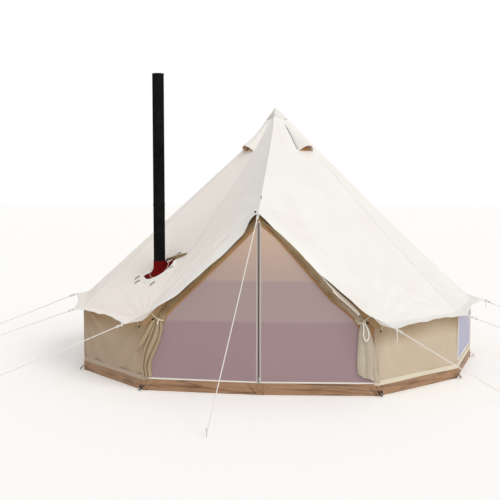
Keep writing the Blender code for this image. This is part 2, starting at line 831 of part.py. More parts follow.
def make_pipe():
    low = sheet + air + stove_leg + stove_height + air
    inner = pipe_radius - pipe_wall
    x, y, ground = pipe_axis()
    place = Matrix.Translation((x, y, ground))
    lower = turned_object("stove_pipe_lower", [(pipe_radius, pipe_joint_height), (pipe_radius, low),
                                               (inner, low), (inner, pipe_joint_height)],
                          place, pipe_black)
    start = pipe_joint_height + air
    crimp = inner - air
    turned_object("stove_pipe_upper", [(pipe_radius, pipe_top), (pipe_radius, start), (crimp, start),
                                       (crimp, start - pipe_joint_overlap),
                                       (crimp - pipe_wall, start - pipe_joint_overlap),
                                       (crimp - pipe_wall, pipe_top)],
                  place, pipe_black)
    turn = Matrix.Rotation(pi / 2, 4, "X")
    spot = Matrix.Translation((x, y, damper_height))
    holes = rod_object("damper_holes", damper_rod_radius + damper_clearance, 4 * pipe_radius, spot @ turn,
                       segments=thin_sides)
    combine(lower, holes, "DIFFERENCE")
    disc = rod_object("pipe_damper", inner * damper_width_share, damper_thickness,
                      spot @ Matrix.Rotation(pi / 2, 4, "Y"), stove_steel)
    reach = pipe_radius + damper_handle_reach
    back = pipe_radius + damper_tail
    rod = rod_object("damper_rod", damper_rod_radius, reach + back,
                     Matrix.Translation((x, y + (reach - back) / 2, damper_height)) @ turn,
                     segments=thin_sides)
    grip = rod_object("damper_grip", damper_rod_radius * 2, damper_handle_length,
                      Matrix.Translation((x, y + reach, damper_height)), segments=thin_sides)
    combine(disc, rod, "UNION")
    combine(disc, grip, "UNION")


def make_guys():
    for name, route in guy_routes.items():
        line = [Vector(point) for point in smooth_rows(route, rope_steps)]
        tube_object(f"guy_rope_{name}", line, rope_radius, rope_white)
        end = Vector(route[-1])
        along = (end - Vector(route[-2])).normalized()
        away = Vector((along.x, along.y, 0)).normalized()
        stand = end + away * (peg_radius - rope_radius * along.z + air)
        shaft = [Vector((stand.x, stand.y, height)) for height in (0.0, peg_height - peg_hook)]
        middle = Vector((stand.x, stand.y, peg_height)) + away * peg_hook / 2
        turns = [step * pi / bend_steps for step in range(bend_steps + 1)]
        arc = [middle + (Vector((0, 0, sin(turn))) - away * cos(turn)) * peg_hook / 2 for turn in turns]
        tube_object(f"peg_{name}", [*shaft, *arc], peg_radius, peg_steel)


clear_scene()
tent = new_collection("hot_tent")
cutters = new_collection("cutters")
roof_canvas = new_material("roof_canvas", (0.93, 0.90, 0.84), 0.9)
trim_canvas = new_material("trim_canvas", (0.95, 0.92, 0.86), 0.9)
wall_canvas = new_material("wall_canvas", (0.76, 0.66, 0.50), 0.9)
sheet_vinyl = new_material("sheet_vinyl", (0.36, 0.20, 0.11), 0.6)
door_mesh = new_material("door_mesh", (0.40, 0.28, 0.30), 0.8)
window_mesh = new_material("window_mesh", (0.46, 0.46, 0.60), 0.8)
pole_steel = new_material("pole_steel", (0.60, 0.60, 0.60), 0.4, 1.0)
dark_rubber = new_material("dark_rubber", (0.03, 0.03, 0.03), 0.8)
zip_metal = new_material("zip_metal", (0.55, 0.55, 0.55), 0.4, 1.0)
jack_cloth = new_material("jack_cloth", (0.40, 0.06, 0.06), 0.7)
stove_steel = new_material("stove_steel", (0.04, 0.04, 0.04), 0.6, 0.3)
pipe_black = new_material("pipe_black", (0.01, 0.01, 0.01), 0.55, 0.2)
rope_white = new_material("rope_white", (0.88, 0.87, 0.84), 0.8)
peg_steel = new_material("peg_steel", (0.50, 0.50, 0.50), 0.4, 1.0)

make_roof()
make_peak_cap()
make_vents()
make_walls()
make_groundsheet()
make_centre_pole()
make_door_pole()
make_mesh_doors()
make_door_leaves()
make_stove_jack()
make_stove()
make_pipe()
make_guys()
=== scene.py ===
import bpy
import numpy as np
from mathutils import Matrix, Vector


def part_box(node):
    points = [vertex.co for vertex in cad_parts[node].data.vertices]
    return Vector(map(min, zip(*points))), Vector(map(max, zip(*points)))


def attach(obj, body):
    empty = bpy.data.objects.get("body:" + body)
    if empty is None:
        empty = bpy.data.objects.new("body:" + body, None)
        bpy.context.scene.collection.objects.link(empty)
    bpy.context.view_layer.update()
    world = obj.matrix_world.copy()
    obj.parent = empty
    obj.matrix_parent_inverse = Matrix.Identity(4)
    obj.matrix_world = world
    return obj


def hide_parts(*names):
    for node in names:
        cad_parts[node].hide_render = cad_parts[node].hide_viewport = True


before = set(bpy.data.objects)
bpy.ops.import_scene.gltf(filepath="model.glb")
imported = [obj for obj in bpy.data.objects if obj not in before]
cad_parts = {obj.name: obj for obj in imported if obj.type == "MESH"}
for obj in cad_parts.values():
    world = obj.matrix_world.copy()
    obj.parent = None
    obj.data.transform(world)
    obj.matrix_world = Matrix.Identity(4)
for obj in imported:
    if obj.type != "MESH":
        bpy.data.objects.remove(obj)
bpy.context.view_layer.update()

# The tent's plan and seams in metres, as the frame has them; hemDrops: how far the two front hems hang lower
tent = {
    "corners": 12, "radius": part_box("groundsheet_rim")[1].x, "rim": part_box("groundsheet_rim")[1].z, "canvas": 0.002,
    "wallTop": 0.60, "doorSetback": 0.20, "coneHeight": 2.40, "ridgeHeight": 2.42, "peakHeight": 2.53,
    "peakReach": 0.45, "crown": 0.045, "ridgeSetback": 0.34, "ridgeEnd": 1.595, "awningReach": 0.15,
    "awningDrop": 0.075, "eaveDrop": 0.015, "eaveReach": 0.13, "eaveReaches": {1: 0.226, 2: 0.09, 3: 0.14},
    "full": 0.100, "fullAt": 0.36, "hemLift": 0.012, "hemDraw": 0.35, "hemDraws": {0: 0.40, -1: 0.0, 1: 0.16},
    "hemDrops": {0: ((0, 0), (0.036, 0.002), (0.094, 0.008), (0.175, 0.017), (0.256, 0.026), (0.33, 0.038),
                     (0.417, 0.037), (0.496, 0.036), (0.574, 0.029), (0.65, 0.028), (0.723, 0.029), (0.785, 0.038),
                     (0.85, 0.030), (0.904, 0.010), (0.955, -0.002), (1, 0)),
                 -1: ((0, 0), (0.041, 0.006), (0.156, 0.027), (0.278, 0.043), (0.374, 0.052), (0.474, 0.050),
                      (0.611, 0.052), (0.718, 0.050), (0.824, 0.049), (0.873, 0.050), (0.894, 0.034),
                      (0.912, 0.004), (0.935, -0.018), (0.965, -0.018), (1, 0))},
}
sides = {"right": 1, "left": -1}
upward, forward = np.array([0, 0, 1.0]), np.array([0, -1.0, 0])


def unit(v):
    # v / |v|
    return v / np.maximum(np.linalg.norm(v, axis=-1, keepdims=True), 1e-12)


def smoothStep(low, high, x):
    # 0 below low, 1 above high, and 3t^2 - 2t^3 between them
    t = np.clip((x - low) / (high - low), 0, 1)
    return t * t * (3 - 2 * t)


def runLength(p, axis=0):
    # The length along a grid's lines up to each of its points
    return np.linalg.norm(np.diff(p, axis=axis, prepend=np.take(p, [0], axis)), axis=-1).cumsum(axis)


def joined(*parts):
    # The parts as one array's last axis
    return np.stack(np.broadcast_arrays(*parts), -1)


def turns(count):
    # Angles at even steps of 2 pi / count
    return np.arange(count) * 2 * np.pi / count


def gridQuads(rows, cols, wrap=False):
    # The corners of each cell of a grid, whose point (i, j) has the index i * cols + j
    i, j = np.meshgrid(np.arange(rows - 1), np.arange(cols if wrap else cols - 1), indexing="ij")
    k = (j + 1) % cols
    return np.stack([i * cols + j, (i + 1) * cols + j, (i + 1) * cols + k, i * cols + k], -1).reshape(-1, 4)


def endFans(rows, cols):
    # Triangles from the grid's first and last rings to the two points after them
    k, final = np.arange(cols), (rows - 1) * cols
    after = (k + 1) % cols
    return np.concatenate([np.stack([0 * k + rows * cols, k, after], -1),
                           np.stack([0 * k + rows * cols + 1, final + after, final + k], -1)])


def putObject(name, data):
    piece = bpy.data.objects.new(name, data)
    bpy.context.scene.collection.objects.link(piece)
    return piece


def putMesh(name, points, faces, look, uv=None, body="root", slot=None, stands=(), crease=0.8):
    # Faces that enclose a negative volume, the sum of a . (b x c) / 6, are turned over
    volume = sum((points[f[:, 0]] * np.cross(points[f[:, k]], points[f[:, k + 1]])).sum()
                 for f in faces for k in range(1, f.shape[1] - 1))
    if volume < 0:
        faces = [f[:, ::-1] for f in faces]
        uv = None if uv is None else [u[:, ::-1] for u in uv]
    mesh = bpy.data.meshes.new(name)
    mesh.from_pydata(points.tolist(), [], [row for f in faces for row in f.tolist()])
    mesh.shade_smooth()
    mesh.set_sharp_from_angle(angle=crease)
    if uv is not None:
        flat = np.concatenate([u.reshape(-1, 2) for u in uv]).astype(np.float32)
        mesh.uv_layers.new(name="UVMap").data.foreach_set("uv", flat.ravel())
    mesh.materials.append(looks[look])
    piece = putObject(name, mesh)
    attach(piece, body)
    if stands:
        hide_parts(*stands)
    return piece


def slab(name, p, n, thick, look, **how):
    # A cloth: its outer face is the grid p, its inner face p - n * thick, and a rim joins them
    rows, cols = p.shape[:2]
    count = rows * cols
    points = np.concatenate([p.reshape(-1, 3), (p - n * thick).reshape(-1, 3)])
    top, grid = gridQuads(rows, cols), np.arange(count).reshape(rows, cols)
    rim = np.concatenate([grid[0], grid[1:, -1], grid[-1, -2::-1], grid[-2:0:-1, 0]])
    after = np.roll(rim, -1)
    faces = [np.concatenate([top, top[:, ::-1] + count, np.stack([rim, after, after + count, rim + count], -1)])]
    across = runLength(p, 1)
    flat = np.stack([across - across[:, -1:] / 2, runLength(p)], -1).reshape(-1, 2)
    return putMesh(name, points, faces, look, uv=[flat[faces[0] % count]], **how)


def cloth(name, p, n, thick, look, flat, rests, held="stretched", area=None, **how):
    # A slab; its flat cut is not used
    return asSheet(slab(name, p, n, thick, look, **how))


def asSheet(piece):
    return piece


def ringSurface(name, grid, look, closed=False, **how):
    # A tube whose rows are rings of points, with flat ends, or joined end to end where it is closed
    rows, cols = grid.shape[:2]
    path, k, final = grid.mean(1), np.arange(cols), (rows - 1) * cols
    around = runLength(np.concatenate([grid, grid[:, :1]], 1), 1)
    uv = joined(around, runLength(path)[:, None])
    quads = gridQuads(rows, cols, wrap=True)
    i, j = quads[:, 0] // cols, quads[:, 0] % cols
    corners = np.stack([uv[i, j], uv[i + 1, j], uv[i + 1, j + 1], uv[i, j + 1]], 1)
    if closed:
        after = (k + 1) % cols
        quads = np.concatenate([quads, np.stack([final + k, k, after, final + after], -1)])
        corners = np.concatenate([corners, np.repeat(uv[-1, :-1, None], 4, 1)])
        return putMesh(name, grid.reshape(-1, 3), [quads], look, uv=[corners], **how)
    points = np.concatenate([grid.reshape(-1, 3), path[[0, -1]]])
    ends = np.repeat(uv[[0, -1], :-1].reshape(-1, 1, 2), 3, 1)
    return putMesh(name, points, [quads, endFans(rows, cols)], look, uv=[corners, ends], **how)


def sweep(name, path, side, up, profile, look, **how):
    # Carries a closed outline along a path: point = path + side * x + up * y
    side, up = (np.broadcast_to(v, path.shape)[:, None] for v in (side, up))
    outline = np.broadcast_to(profile, (len(path), profile.shape[-2], 2))
    return ringSurface(name, path[:, None] + side * outline[..., :1] + up * outline[..., 1:], look, **how)


def torusSurface(name, grid, look, uv, **how):
    # A surface that closes on itself both ways
    rows, cols = grid.shape[:2]
    i, j = (k.ravel() for k in np.meshgrid(np.arange(rows), np.arange(cols), indexing="ij"))
    nextI, nextJ = (i + 1) % rows, (j + 1) % cols
    quads = np.stack([i * cols + j, nextI * cols + j, nextI * cols + nextJ, i * cols + nextJ], -1)
    return putMesh(name, grid.reshape(-1, 3), [quads], look, uv=[uv.reshape(-1, 2)[quads]], **how)


def pathFrame(path, guide):
    # Tangent from the neighbours' difference; side = tangent x guide; up = side x tangent
    tangent = unit(np.gradient(path, axis=0))
    side = unit(np.cross(tangent, np.broadcast_to(np.asarray(guide, float), path.shape)))
    return tangent, side, np.cross(side, tangent)


def circle(radius, count):
    # (R cos a, R sin a)
    a = turns(count)
    return radius * np.stack([np.cos(a), np.sin(a)], -1)


def strapOutline(width, thick):
    # A flat oblong with rounded ends: |x / (w/2)|^4 + |y / (h/2)|^4 = 1
    a = (np.arange(12) + 0.5) * 2 * np.pi / 12
    c, s = np.cos(a), np.sin(a)
    r = (c ** 4 + s ** 4) ** -0.25
    return np.stack([width / 2 * c * r, thick / 2 * s * r], -1)


def smoothPath(points, steps):
    # Catmull-Rom: each span is a cubic through its two points, with their neighbours' slopes
    p = np.asarray(points, float)
    padded = np.concatenate([p[:1], p, p[-1:]])
    t = (np.arange(steps) / steps)[None, :, None]
    a, b, c, d = (padded[k:len(padded) - 3 + k, None] for k in range(4))
    made = 0.5 * (2 * b + (c - a) * t + (2 * a - 5 * b + 4 * c - d) * t ** 2 + (3 * b - a - 3 * c + d) * t ** 3)
    return np.concatenate([made.reshape(-1, p.shape[1]), p[-1:]])


def evenly(path, count):
    # The same line with count points at equal steps of its length
    along = runLength(path)
    at = np.linspace(0, along[-1], count)
    return np.stack([np.interp(at, along, path[:, k]) for k in range(path.shape[1])], -1)


def tube(name, path, radius, look, sides=10, guide=upward, **how):
    # A round section along the path
    _, side, up = pathFrame(path, guide)
    return sweep(name, path, side, up, circle(radius, sides), look, **how)


def strap(name, path, width, thick, look, facing, **how):
    # A flat strap whose face looks along facing
    _, side, up = pathFrame(path, facing)
    return sweep(name, path, side, up, strapOutline(width, thick), look, **how)


def putRing(name, centre, axis, radius, thick, look):
    # A torus: points at centre + R (side cos a + (axis x side) sin a), with a round section
    side = unit(np.cross(axis, (0.3, 0.2, 0.9)))
    a = turns(20)[:, None]
    out = np.cos(a) * side + np.sin(a) * np.cross(axis, side)
    sweep(name, centre + out * radius, out, axis, circle(thick, 8), look, closed=True)


def cutAway(piece, cutter):
    # Takes the cutter's solid out of the piece and keeps the result as its mesh
    step = piece.modifiers.new("cut", "BOOLEAN")
    step.operation, step.solver, step.object = "DIFFERENCE", "EXACT", cutter
    mesh = bpy.data.meshes.new_from_object(piece.evaluated_get(bpy.context.evaluated_depsgraph_get()))
    piece.modifiers.clear()
    piece.data = mesh
    bpy.data.objects.remove(cutter)


boxSigns = np.array([(x, y, z) for x in (-1, 1) for y in (-1, 1) for z in (-1, 1)], float)
boxFaces = np.array([(0, 1, 3, 2), (4, 6, 7, 5), (0, 4, 5, 1), (2, 3, 7, 6), (0, 2, 6, 4), (1, 5, 7, 3)])


def boxAt(centre, axes, half):
    # A cutter: its corners are centre plus or minus each axis times its half size
    points = centre + sum(boxSigns[:, k:k + 1] * half[k] * np.asarray(axes[k]) for k in range(3))
    return putMesh("hole", points, [boxFaces], "trim")


# Materials
def newLook(name, colour, roughness, **sockets):
    look = bpy.data.materials.new(name)
    look.use_nodes = True
    shader = look.node_tree.nodes["Principled BSDF"]
    shader.inputs["Base Color"].default_value = (*colour, 1)
    shader.inputs["Roughness"].default_value = roughness
    for key, value in sockets.items():
        shader.inputs[key.replace("_", " ")].default_value = value
    return look, look.node_tree, shader


def addNode(tree, kind, values=None, vector=None, **settings):
    node = tree.nodes.new("ShaderNode" + kind)
    for key, value in settings.items():
        setattr(node, key, value)
    for key, value in (values or {}).items():
        node.inputs[key].default_value = value
    if vector is not None:
        tree.links.new(vector, node.inputs["Vector"])
    return node


def feed(tree, sockets, values):
    # Sets each socket to its number or colour, or links it
    for socket, value in zip(sockets, values):
        if isinstance(value, tuple):
            socket.default_value = (*value, 1)
        elif isinstance(value, (int, float)):
            socket.default_value = value
        else:
            tree.links.new(value, socket)


def mixed(tree, factor, first, second):
    # Colour first where the factor is 0 and second where it is 1
    node = addNode(tree, "Mix", data_type="RGBA")
    feed(tree, (node.inputs[0], node.inputs[6], node.inputs[7]), (factor, first, second))
    return node.outputs[2]


def maths(tree, operation, first, second):
    node = addNode(tree, "Math", operation=operation)
    feed(tree, node.inputs, (first, second))
    return node.outputs[0]


def remap(tree, value, low=0.0, high=1.0, toLow=0.0, toHigh=1.0):
    # toLow + (toHigh - toLow)(value - low) / (high - low), kept between the two ends
    node = addNode(tree, "MapRange", {"From Min": low, "From Max": high, "To Min": toLow, "To Max": toHigh})
    tree.links.new(value, node.inputs["Value"])
    return node.outputs[0]


def noise(tree, place, scale, detail, **more):
    return addNode(tree, "TexNoise", {"Scale": scale, "Detail": detail, **more}, place).outputs["Fac"]


def waves(tree, place, scale, way="X", **more):
    return addNode(tree, "TexWave", {"Scale": scale, **more}, place, bands_direction=way).outputs["Fac"]


def bumped(tree, shader, height, strength, distance, under=None):
    # Tilts the shader's normal by the height's slope, on top of the bump under it
    node = addNode(tree, "Bump", {"Strength": strength, "Distance": distance})
    tree.links.new(height, node.inputs["Height"])
    if under is not None:
        tree.links.new(under, node.inputs["Normal"])
    tree.links.new(node.outputs[0], shader.inputs["Normal"])
    return node.outputs[0]


def places(tree):
    # The cloth's own metres, the place in the tent, and that place's X, Y and Z
    spot, apart = addNode(tree, "TexCoord"), addNode(tree, "SeparateXYZ")
    tree.links.new(spot.outputs["Object"], apart.inputs[0])
    return spot.outputs["UV"], spot.outputs["Object"], apart.outputs


def clothLook(name, colour, shade, roughness=0.9, thread=0.0011, weave=0.35, mottle=2.2, upper=None, aside=None,
              shadeTurnAt=(-0.9, 0.7), **sockets):
    # Woven cloth: warp and weft are two sine waves on the cloth's own metres, with slubs and a soft mottle.
    # aside is painted shade: a colour that takes over towards -X, the side turned from the sun; upper is painted shade
    # that takes over between two heights
    look, tree, shader = newLook(name, colour, roughness, **sockets)
    flat, place, apart = places(tree)
    warp, weft = (waves(tree, flat, 2 * np.pi / 20 / thread, way, Distortion=1.2, Detail=2.0) for way in "XY")
    slub, cloud = noise(tree, flat, 260.0, 3.0), noise(tree, place, mottle, 6.0, Roughness=0.6)
    fine = remap(tree, slub, 0.3, 0.75, 0.0, 0.28)
    tint = mixed(tree, fine, mixed(tree, remap(tree, cloud, 0.35, 0.72), colour, shade), shade)
    # Painted shade towards -X
    if aside is not None:
        left = remap(tree, apart["X"], *shadeTurnAt, 1.0, 0.0)
        tint = mixed(tree, maths(tree, "MULTIPLY", left, maths(tree, "ADD", fine, 0.75)), tint, aside)
    # Painted shade between two heights, as under the eaves and the awning
    if upper is not None:
        high = remap(tree, apart["Z"], *upper[1:])
        tint = mixed(tree, maths(tree, "MULTIPLY", high, maths(tree, "ADD", cloud, 0.2)), tint, upper[0])
    tree.links.new(tint, shader.inputs["Base Color"])
    soft = bumped(tree, shader, noise(tree, place, 16.0, 4.0, Distortion=0.4), 0.10, 0.01)
    bumped(tree, shader, maths(tree, "ADD", maths(tree, "ADD", warp, weft), slub), weave, 0.0003, soft)
    return look


def metalLook(name, colour, roughness, metallic, speck=0.12, grain=90.0, **sockets):
    # Metal or enamel with fine scratches and a cloudy gloss
    look, tree, shader = newLook(name, colour, roughness, Metallic=metallic, **sockets)
    place = addNode(tree, "TexCoord").outputs["Object"]
    fine = noise(tree, place, grain, 3.0)
    worn = tuple(min(1.0, c * 1.25 + 0.015) for c in colour)
    tree.links.new(mixed(tree, noise(tree, place, 9.0, 5.0), colour, worn), shader.inputs["Base Color"])
    tree.links.new(remap(tree, fine, 0.0, 1.0, roughness - speck, roughness + speck), shader.inputs["Roughness"])
    bumped(tree, shader, fine, 0.15, 0.0006)
    return look


def ropeLook(name, colour, shade):
    # Twisted yarns: bands that climb round the rope, on its own metres
    look, tree, shader = newLook(name, colour, 0.8, Sheen_Weight=0.25)
    spot = addNode(tree, "TexCoord")
    turned = addNode(tree, "Mapping", {"Rotation": (0, 0, 0.9)}, spot.outputs["UV"])
    yarn = waves(tree, turned.outputs[0], 260.0, Distortion=0.8)
    both = maths(tree, "MULTIPLY", yarn, noise(tree, spot.outputs["Object"], 30.0, 4.0))
    tree.links.new(mixed(tree, both, shade, colour), shader.inputs["Base Color"])
    bumped(tree, shader, yarn, 0.4, 0.0006)
    return look


def netLook(name, colour, shade, opacity, bands=()):
    # Fine net: a lattice of threads over a paler ground, partly see-through all over. Each band's colour
    # takes over between its two heights, as the tent's far wall and lit roof show behind
    look, tree, shader = newLook(name, colour, 0.85, Alpha=opacity, Sheen_Weight=0.15)
    flat, place, apart = places(tree)
    net = maths(tree, "MAXIMUM", *(waves(tree, flat, 2 * np.pi / 20 / 0.0022, way) for way in "XY"))
    tint = mixed(tree, maths(tree, "MULTIPLY", noise(tree, place, 1.6, 3.0), net), shade, colour)
    for low, high, over in bands:
        tint = mixed(tree, remap(tree, apart["Z"], low, high), tint, over)
    tree.links.new(tint, shader.inputs["Base Color"])
    bumped(tree, shader, net, 0.3, 0.0004)
    return look


def vinylLook(name, colour, shade, on="UV"):
    # Coated groundsheet cloth: fine ribs, cloudy colour, and painted shade: dark streaks that stand for the shadows of
    # lengthwise creases
    look, tree, shader = newLook(name, colour, 0.55, Coat_Weight=0.08)
    spot = addNode(tree, "TexCoord")
    rib = waves(tree, spot.outputs[on], 150.0, "Y", Distortion=0.6)
    cloud = noise(tree, spot.outputs["Object"], 6.0, 7.0, Roughness=0.65)
    long = addNode(tree, "Mapping", {"Scale": (2.6, 34.0, 2.6)}, spot.outputs[on])
    # Painted shade of lengthwise creases, from stretched noise
    creaseShade = remap(tree, noise(tree, long.outputs[0], 1.0, 3.0, Distortion=0.8), 0.52, 0.66, 0.0, 0.75)
    tint = mixed(tree, creaseShade, mixed(tree, cloud, colour, shade), tuple(0.42 * k for k in shade))
    tree.links.new(tint, shader.inputs["Base Color"])
    tree.links.new(remap(tree, cloud, 0.0, 1.0, 0.42, 0.7), shader.inputs["Roughness"])
    bumped(tree, shader, rib, 0.2, 0.0004, bumped(tree, shader, cloud, 0.25, 0.006))
    return look


webbing = {"thread": 0.003, "weave": 0.6}
looks = {
    # roof: aside paints a warmer shaded tone on the cloth towards -X
    "roof": clothLook("roofCanvas", (0.945, 0.928, 0.900), (0.90, 0.875, 0.835), Sheen_Weight=0.15,
                      aside=(0.99, 0.925, 0.865), shadeTurnAt=(-0.40, -0.02)),
    # cap: aside paints shade on the cap's -X half
    "cap": clothLook("capCanvas", (0.90, 0.875, 0.845), (0.84, 0.81, 0.78), aside=(0.56, 0.53, 0.50),
                     shadeTurnAt=(-0.06, 0.02)),
    # The vents' orange lining colour is painted glow and shade
    "ventPaintedGlow": clothLook("ventPaintedGlow", (0.72, 0.42, 0.17), (0.56, 0.30, 0.10)),
    # seamShade and seamLine: painted shade lines, dark and grey, on hips and the ridge crease
    "seamShade": clothLook("seamShade", (0.24, 0.22, 0.21), (0.18, 0.165, 0.155)),
    "seamLine": clothLook("seamLine", (0.80, 0.78, 0.765), (0.74, 0.72, 0.70)),
    "trim": clothLook("trimCanvas", (0.955, 0.945, 0.925), (0.90, 0.88, 0.84), thread=0.0016, Sheen_Weight=0.15),
    # wall: the roof's canvas painted darker and warmer as shade and glow of light through the cloth; aside paints
    # deeper shade towards -X, upper the orange-brown shade under the eaves
    "wall": clothLook("wallShadedCanvas", (0.60, 0.505, 0.385), (0.53, 0.43, 0.315), aside=(0.44, 0.33, 0.235),
                      upper=((0.30, 0.17, 0.055), 0.40, 0.60)),
    # leaf: the same canvas painted darker as shade, darker still towards -X, with upper painting the olive-brown shade
    # under the awning on the rolls
    "leaf": clothLook("leafShadedCanvas", (0.56, 0.50, 0.40), (0.47, 0.405, 0.305), mottle=5.0,
                      aside=(0.40, 0.30, 0.18), upper=((0.17, 0.085, 0.01), 0.60, 0.70)),
    # lip: pale cloth; on the right roll it is painted light, a lit copy of the shaded leaf, and on the ties' loose ends
    # their own cream colour
    "lip": clothLook("lipCanvas", (0.96, 0.92, 0.84), (0.90, 0.84, 0.74)),
    "tie": clothLook("tieWebbing", (0.78, 0.71, 0.59), (0.66, 0.58, 0.46), **webbing),
    # wallHem: aside paints shade towards -X
    "wallHem": clothLook("wallHemCanvas", (0.76, 0.69, 0.56), (0.68, 0.60, 0.47), aside=(0.44, 0.345, 0.265)),
    # tan: painted shade and glow, the dark orange of the net's border under the roll
    "tan": clothLook("tanShadedCanvas", (0.42, 0.235, 0.105), (0.32, 0.17, 0.07)),
    # inner: painted shade and glow, the dark orange-brown of the door strips under the awning
    "inner": clothLook("innerShadedCanvas", (0.42, 0.275, 0.14), (0.32, 0.20, 0.095)),
    "tape": clothLook("zipTape", (0.56, 0.49, 0.45), (0.48, 0.41, 0.38), thread=0.0016),
    "web": clothLook("whiteWebbing", (0.90, 0.88, 0.83), (0.80, 0.77, 0.70), **webbing),
    "darkWeb": clothLook("darkWebbing", (0.014, 0.012, 0.011), (0.008, 0.008, 0.007), **webbing,
                         Specular_IOR_Level=0.1),
    "brownWeb": clothLook("brownWebbing", (0.20, 0.12, 0.07), (0.15, 0.09, 0.05), **webbing),
    "doorNet": netLook("doorNet", (0.455, 0.325, 0.345), (0.37, 0.255, 0.275), 0.84,
                       bands=((0.60, 0.62, (0.455, 0.345, 0.34)), (0.945, 0.965, (0.54, 0.405, 0.36)),
                              (1.0, 1.42, (0.70, 0.51, 0.385)))),
    "windowNet": netLook("windowNet", (0.52, 0.51, 0.66), (0.44, 0.43, 0.57), 0.90),
    "ventNet": netLook("ventNet", (0.50, 0.29, 0.12), (0.40, 0.22, 0.08), 0.95),
    "rim": vinylLook("groundsheetVinyl", (0.43, 0.25, 0.135), (0.29, 0.155, 0.08)),
    "floorVinyl": vinylLook("floorVinyl", (0.40, 0.245, 0.145), (0.30, 0.175, 0.10), "Object"),
    "rope": ropeLook("whiteRope", (0.96, 0.955, 0.94), (0.80, 0.78, 0.74)),
    "steel": metalLook("poleSteel", (0.62, 0.62, 0.60), 0.34, 1.0),
    "peg": metalLook("pegSteel", (0.55, 0.55, 0.54), 0.38, 1.0),
    "zip": metalLook("zipMetal", (0.50, 0.50, 0.50), 0.36, 1.0),
    "teeth": metalLook("zipTeeth", (0.10, 0.095, 0.09), 0.45, 0.2, 0.08),
    "rubber": metalLook("footRubber", (0.03, 0.03, 0.03), 0.75, 0.0, 0.08),
    "stove": metalLook("stoveSteel", (0.035, 0.035, 0.036), 0.55, 0.6),
    "pipe": metalLook("pipeEnamel", (0.0012, 0.0012, 0.0012), 0.9, 0.0, 0.1, Specular_IOR_Level=0.015),
    "jack": clothLook("jackCloth", (0.19, 0.006, 0.005), (0.11, 0.003, 0.003), 0.9, thread=0.0018, mottle=9.0,
                      Specular_IOR_Level=0.06),
    "jackThread": clothLook("jackPiping", (0.62, 0.50, 0.42), (0.50, 0.38, 0.32), thread=0.002),
}
print("materials:", len(looks))

# Camera, light and floor
photo = {"turn": 0.103, "pitch": -0.078, "height": 1.756, "distance": 8.721, "aside": -0.256, "focus": 843.827,
         "pixels": 500}
lighting = {"sky": 0.63, "sun": 1.07, "sunFrom": (0.60, -0.50, 0.62), "sunWidth": 0.6, "floor": (0.96, 0.96, 0.955),
            "floorGlow": 0.16, "floorReach": 60.0, "floorDepth": 0.0005}


def makeCamera():
    # The camera stands at (aside, -distance) in axes turned by turn about +Z
    c, s = np.cos(photo["turn"]), np.sin(photo["turn"])
    data = bpy.data.cameras.new("photoCamera")
    data.sensor_width, data.clip_end = 36.0, 400.0
    data.lens = photo["focus"] / photo["pixels"] * data.sensor_width
    camera = putObject("photoCamera", data)
    camera.location = (photo["aside"] * c + photo["distance"] * s, photo["aside"] * s - photo["distance"] * c,
                       photo["height"])
    camera.rotation_euler = (np.pi / 2 + photo["pitch"], 0, photo["turn"])
    bpy.context.scene.camera = camera


def seenDirectly(tree):
    # 1 for camera, mirror and glass rays, and 0 for the rays that light the object
    path = addNode(tree, "LightPath")
    some = maths(tree, "MAXIMUM", path.outputs["Is Camera Ray"], path.outputs["Is Glossy Ray"])
    return maths(tree, "MAXIMUM", some, path.outputs["Is Transmission Ray"])


def makeLight():
    # A soft sky and one wide sun; the sky is plain white where it is seen directly
    scene = bpy.context.scene
    scene.view_settings.view_transform = "Standard"
    world = scene.world = bpy.data.worlds.new("studio")
    world.use_nodes = True
    tree = world.node_tree
    plain = tree.nodes["Background"]
    feed(tree, plain.inputs, ((1.0, 0.985, 0.965), lighting["sky"]))
    white = addNode(tree, "Background", {"Color": (1, 1, 1, 1), "Strength": 1.0})
    pick = addNode(tree, "MixShader")
    feed(tree, pick.inputs, (seenDirectly(tree), plain.outputs[0], white.outputs[0]))
    tree.links.new(pick.outputs[0], tree.nodes["World Output"].inputs["Surface"])
    lamp = bpy.data.lights.new("sun", "SUN")
    lamp.energy, lamp.angle, lamp.color = lighting["sun"], lighting["sunWidth"], (1.0, 0.985, 0.955)
    x, y, z = unit(np.array(lighting["sunFrom"]))
    putObject("sun", lamp).rotation_euler = (np.arccos(z), 0, np.arctan2(y, x) + np.pi / 2)


def makeFloor():
    # A white square just below the ground
    reach, mesh = lighting["floorReach"], bpy.data.meshes.new("studioFloor")
    spots = [(x * reach, y * reach, -lighting["floorDepth"]) for x, y in ((-1, -1), (1, -1), (1, 1), (-1, 1))]
    mesh.from_pydata(spots, [], [(0, 1, 2, 3)])
    mesh.materials.append(newLook("studioFloor", lighting["floor"], 0.95, Emission_Color=(1, 1, 1, 1),
                                  Emission_Strength=lighting["floorGlow"])[0])
    putObject("studioFloor", mesh)


makeCamera()
makeLight()
makeFloor()
print("camera, light and floor")


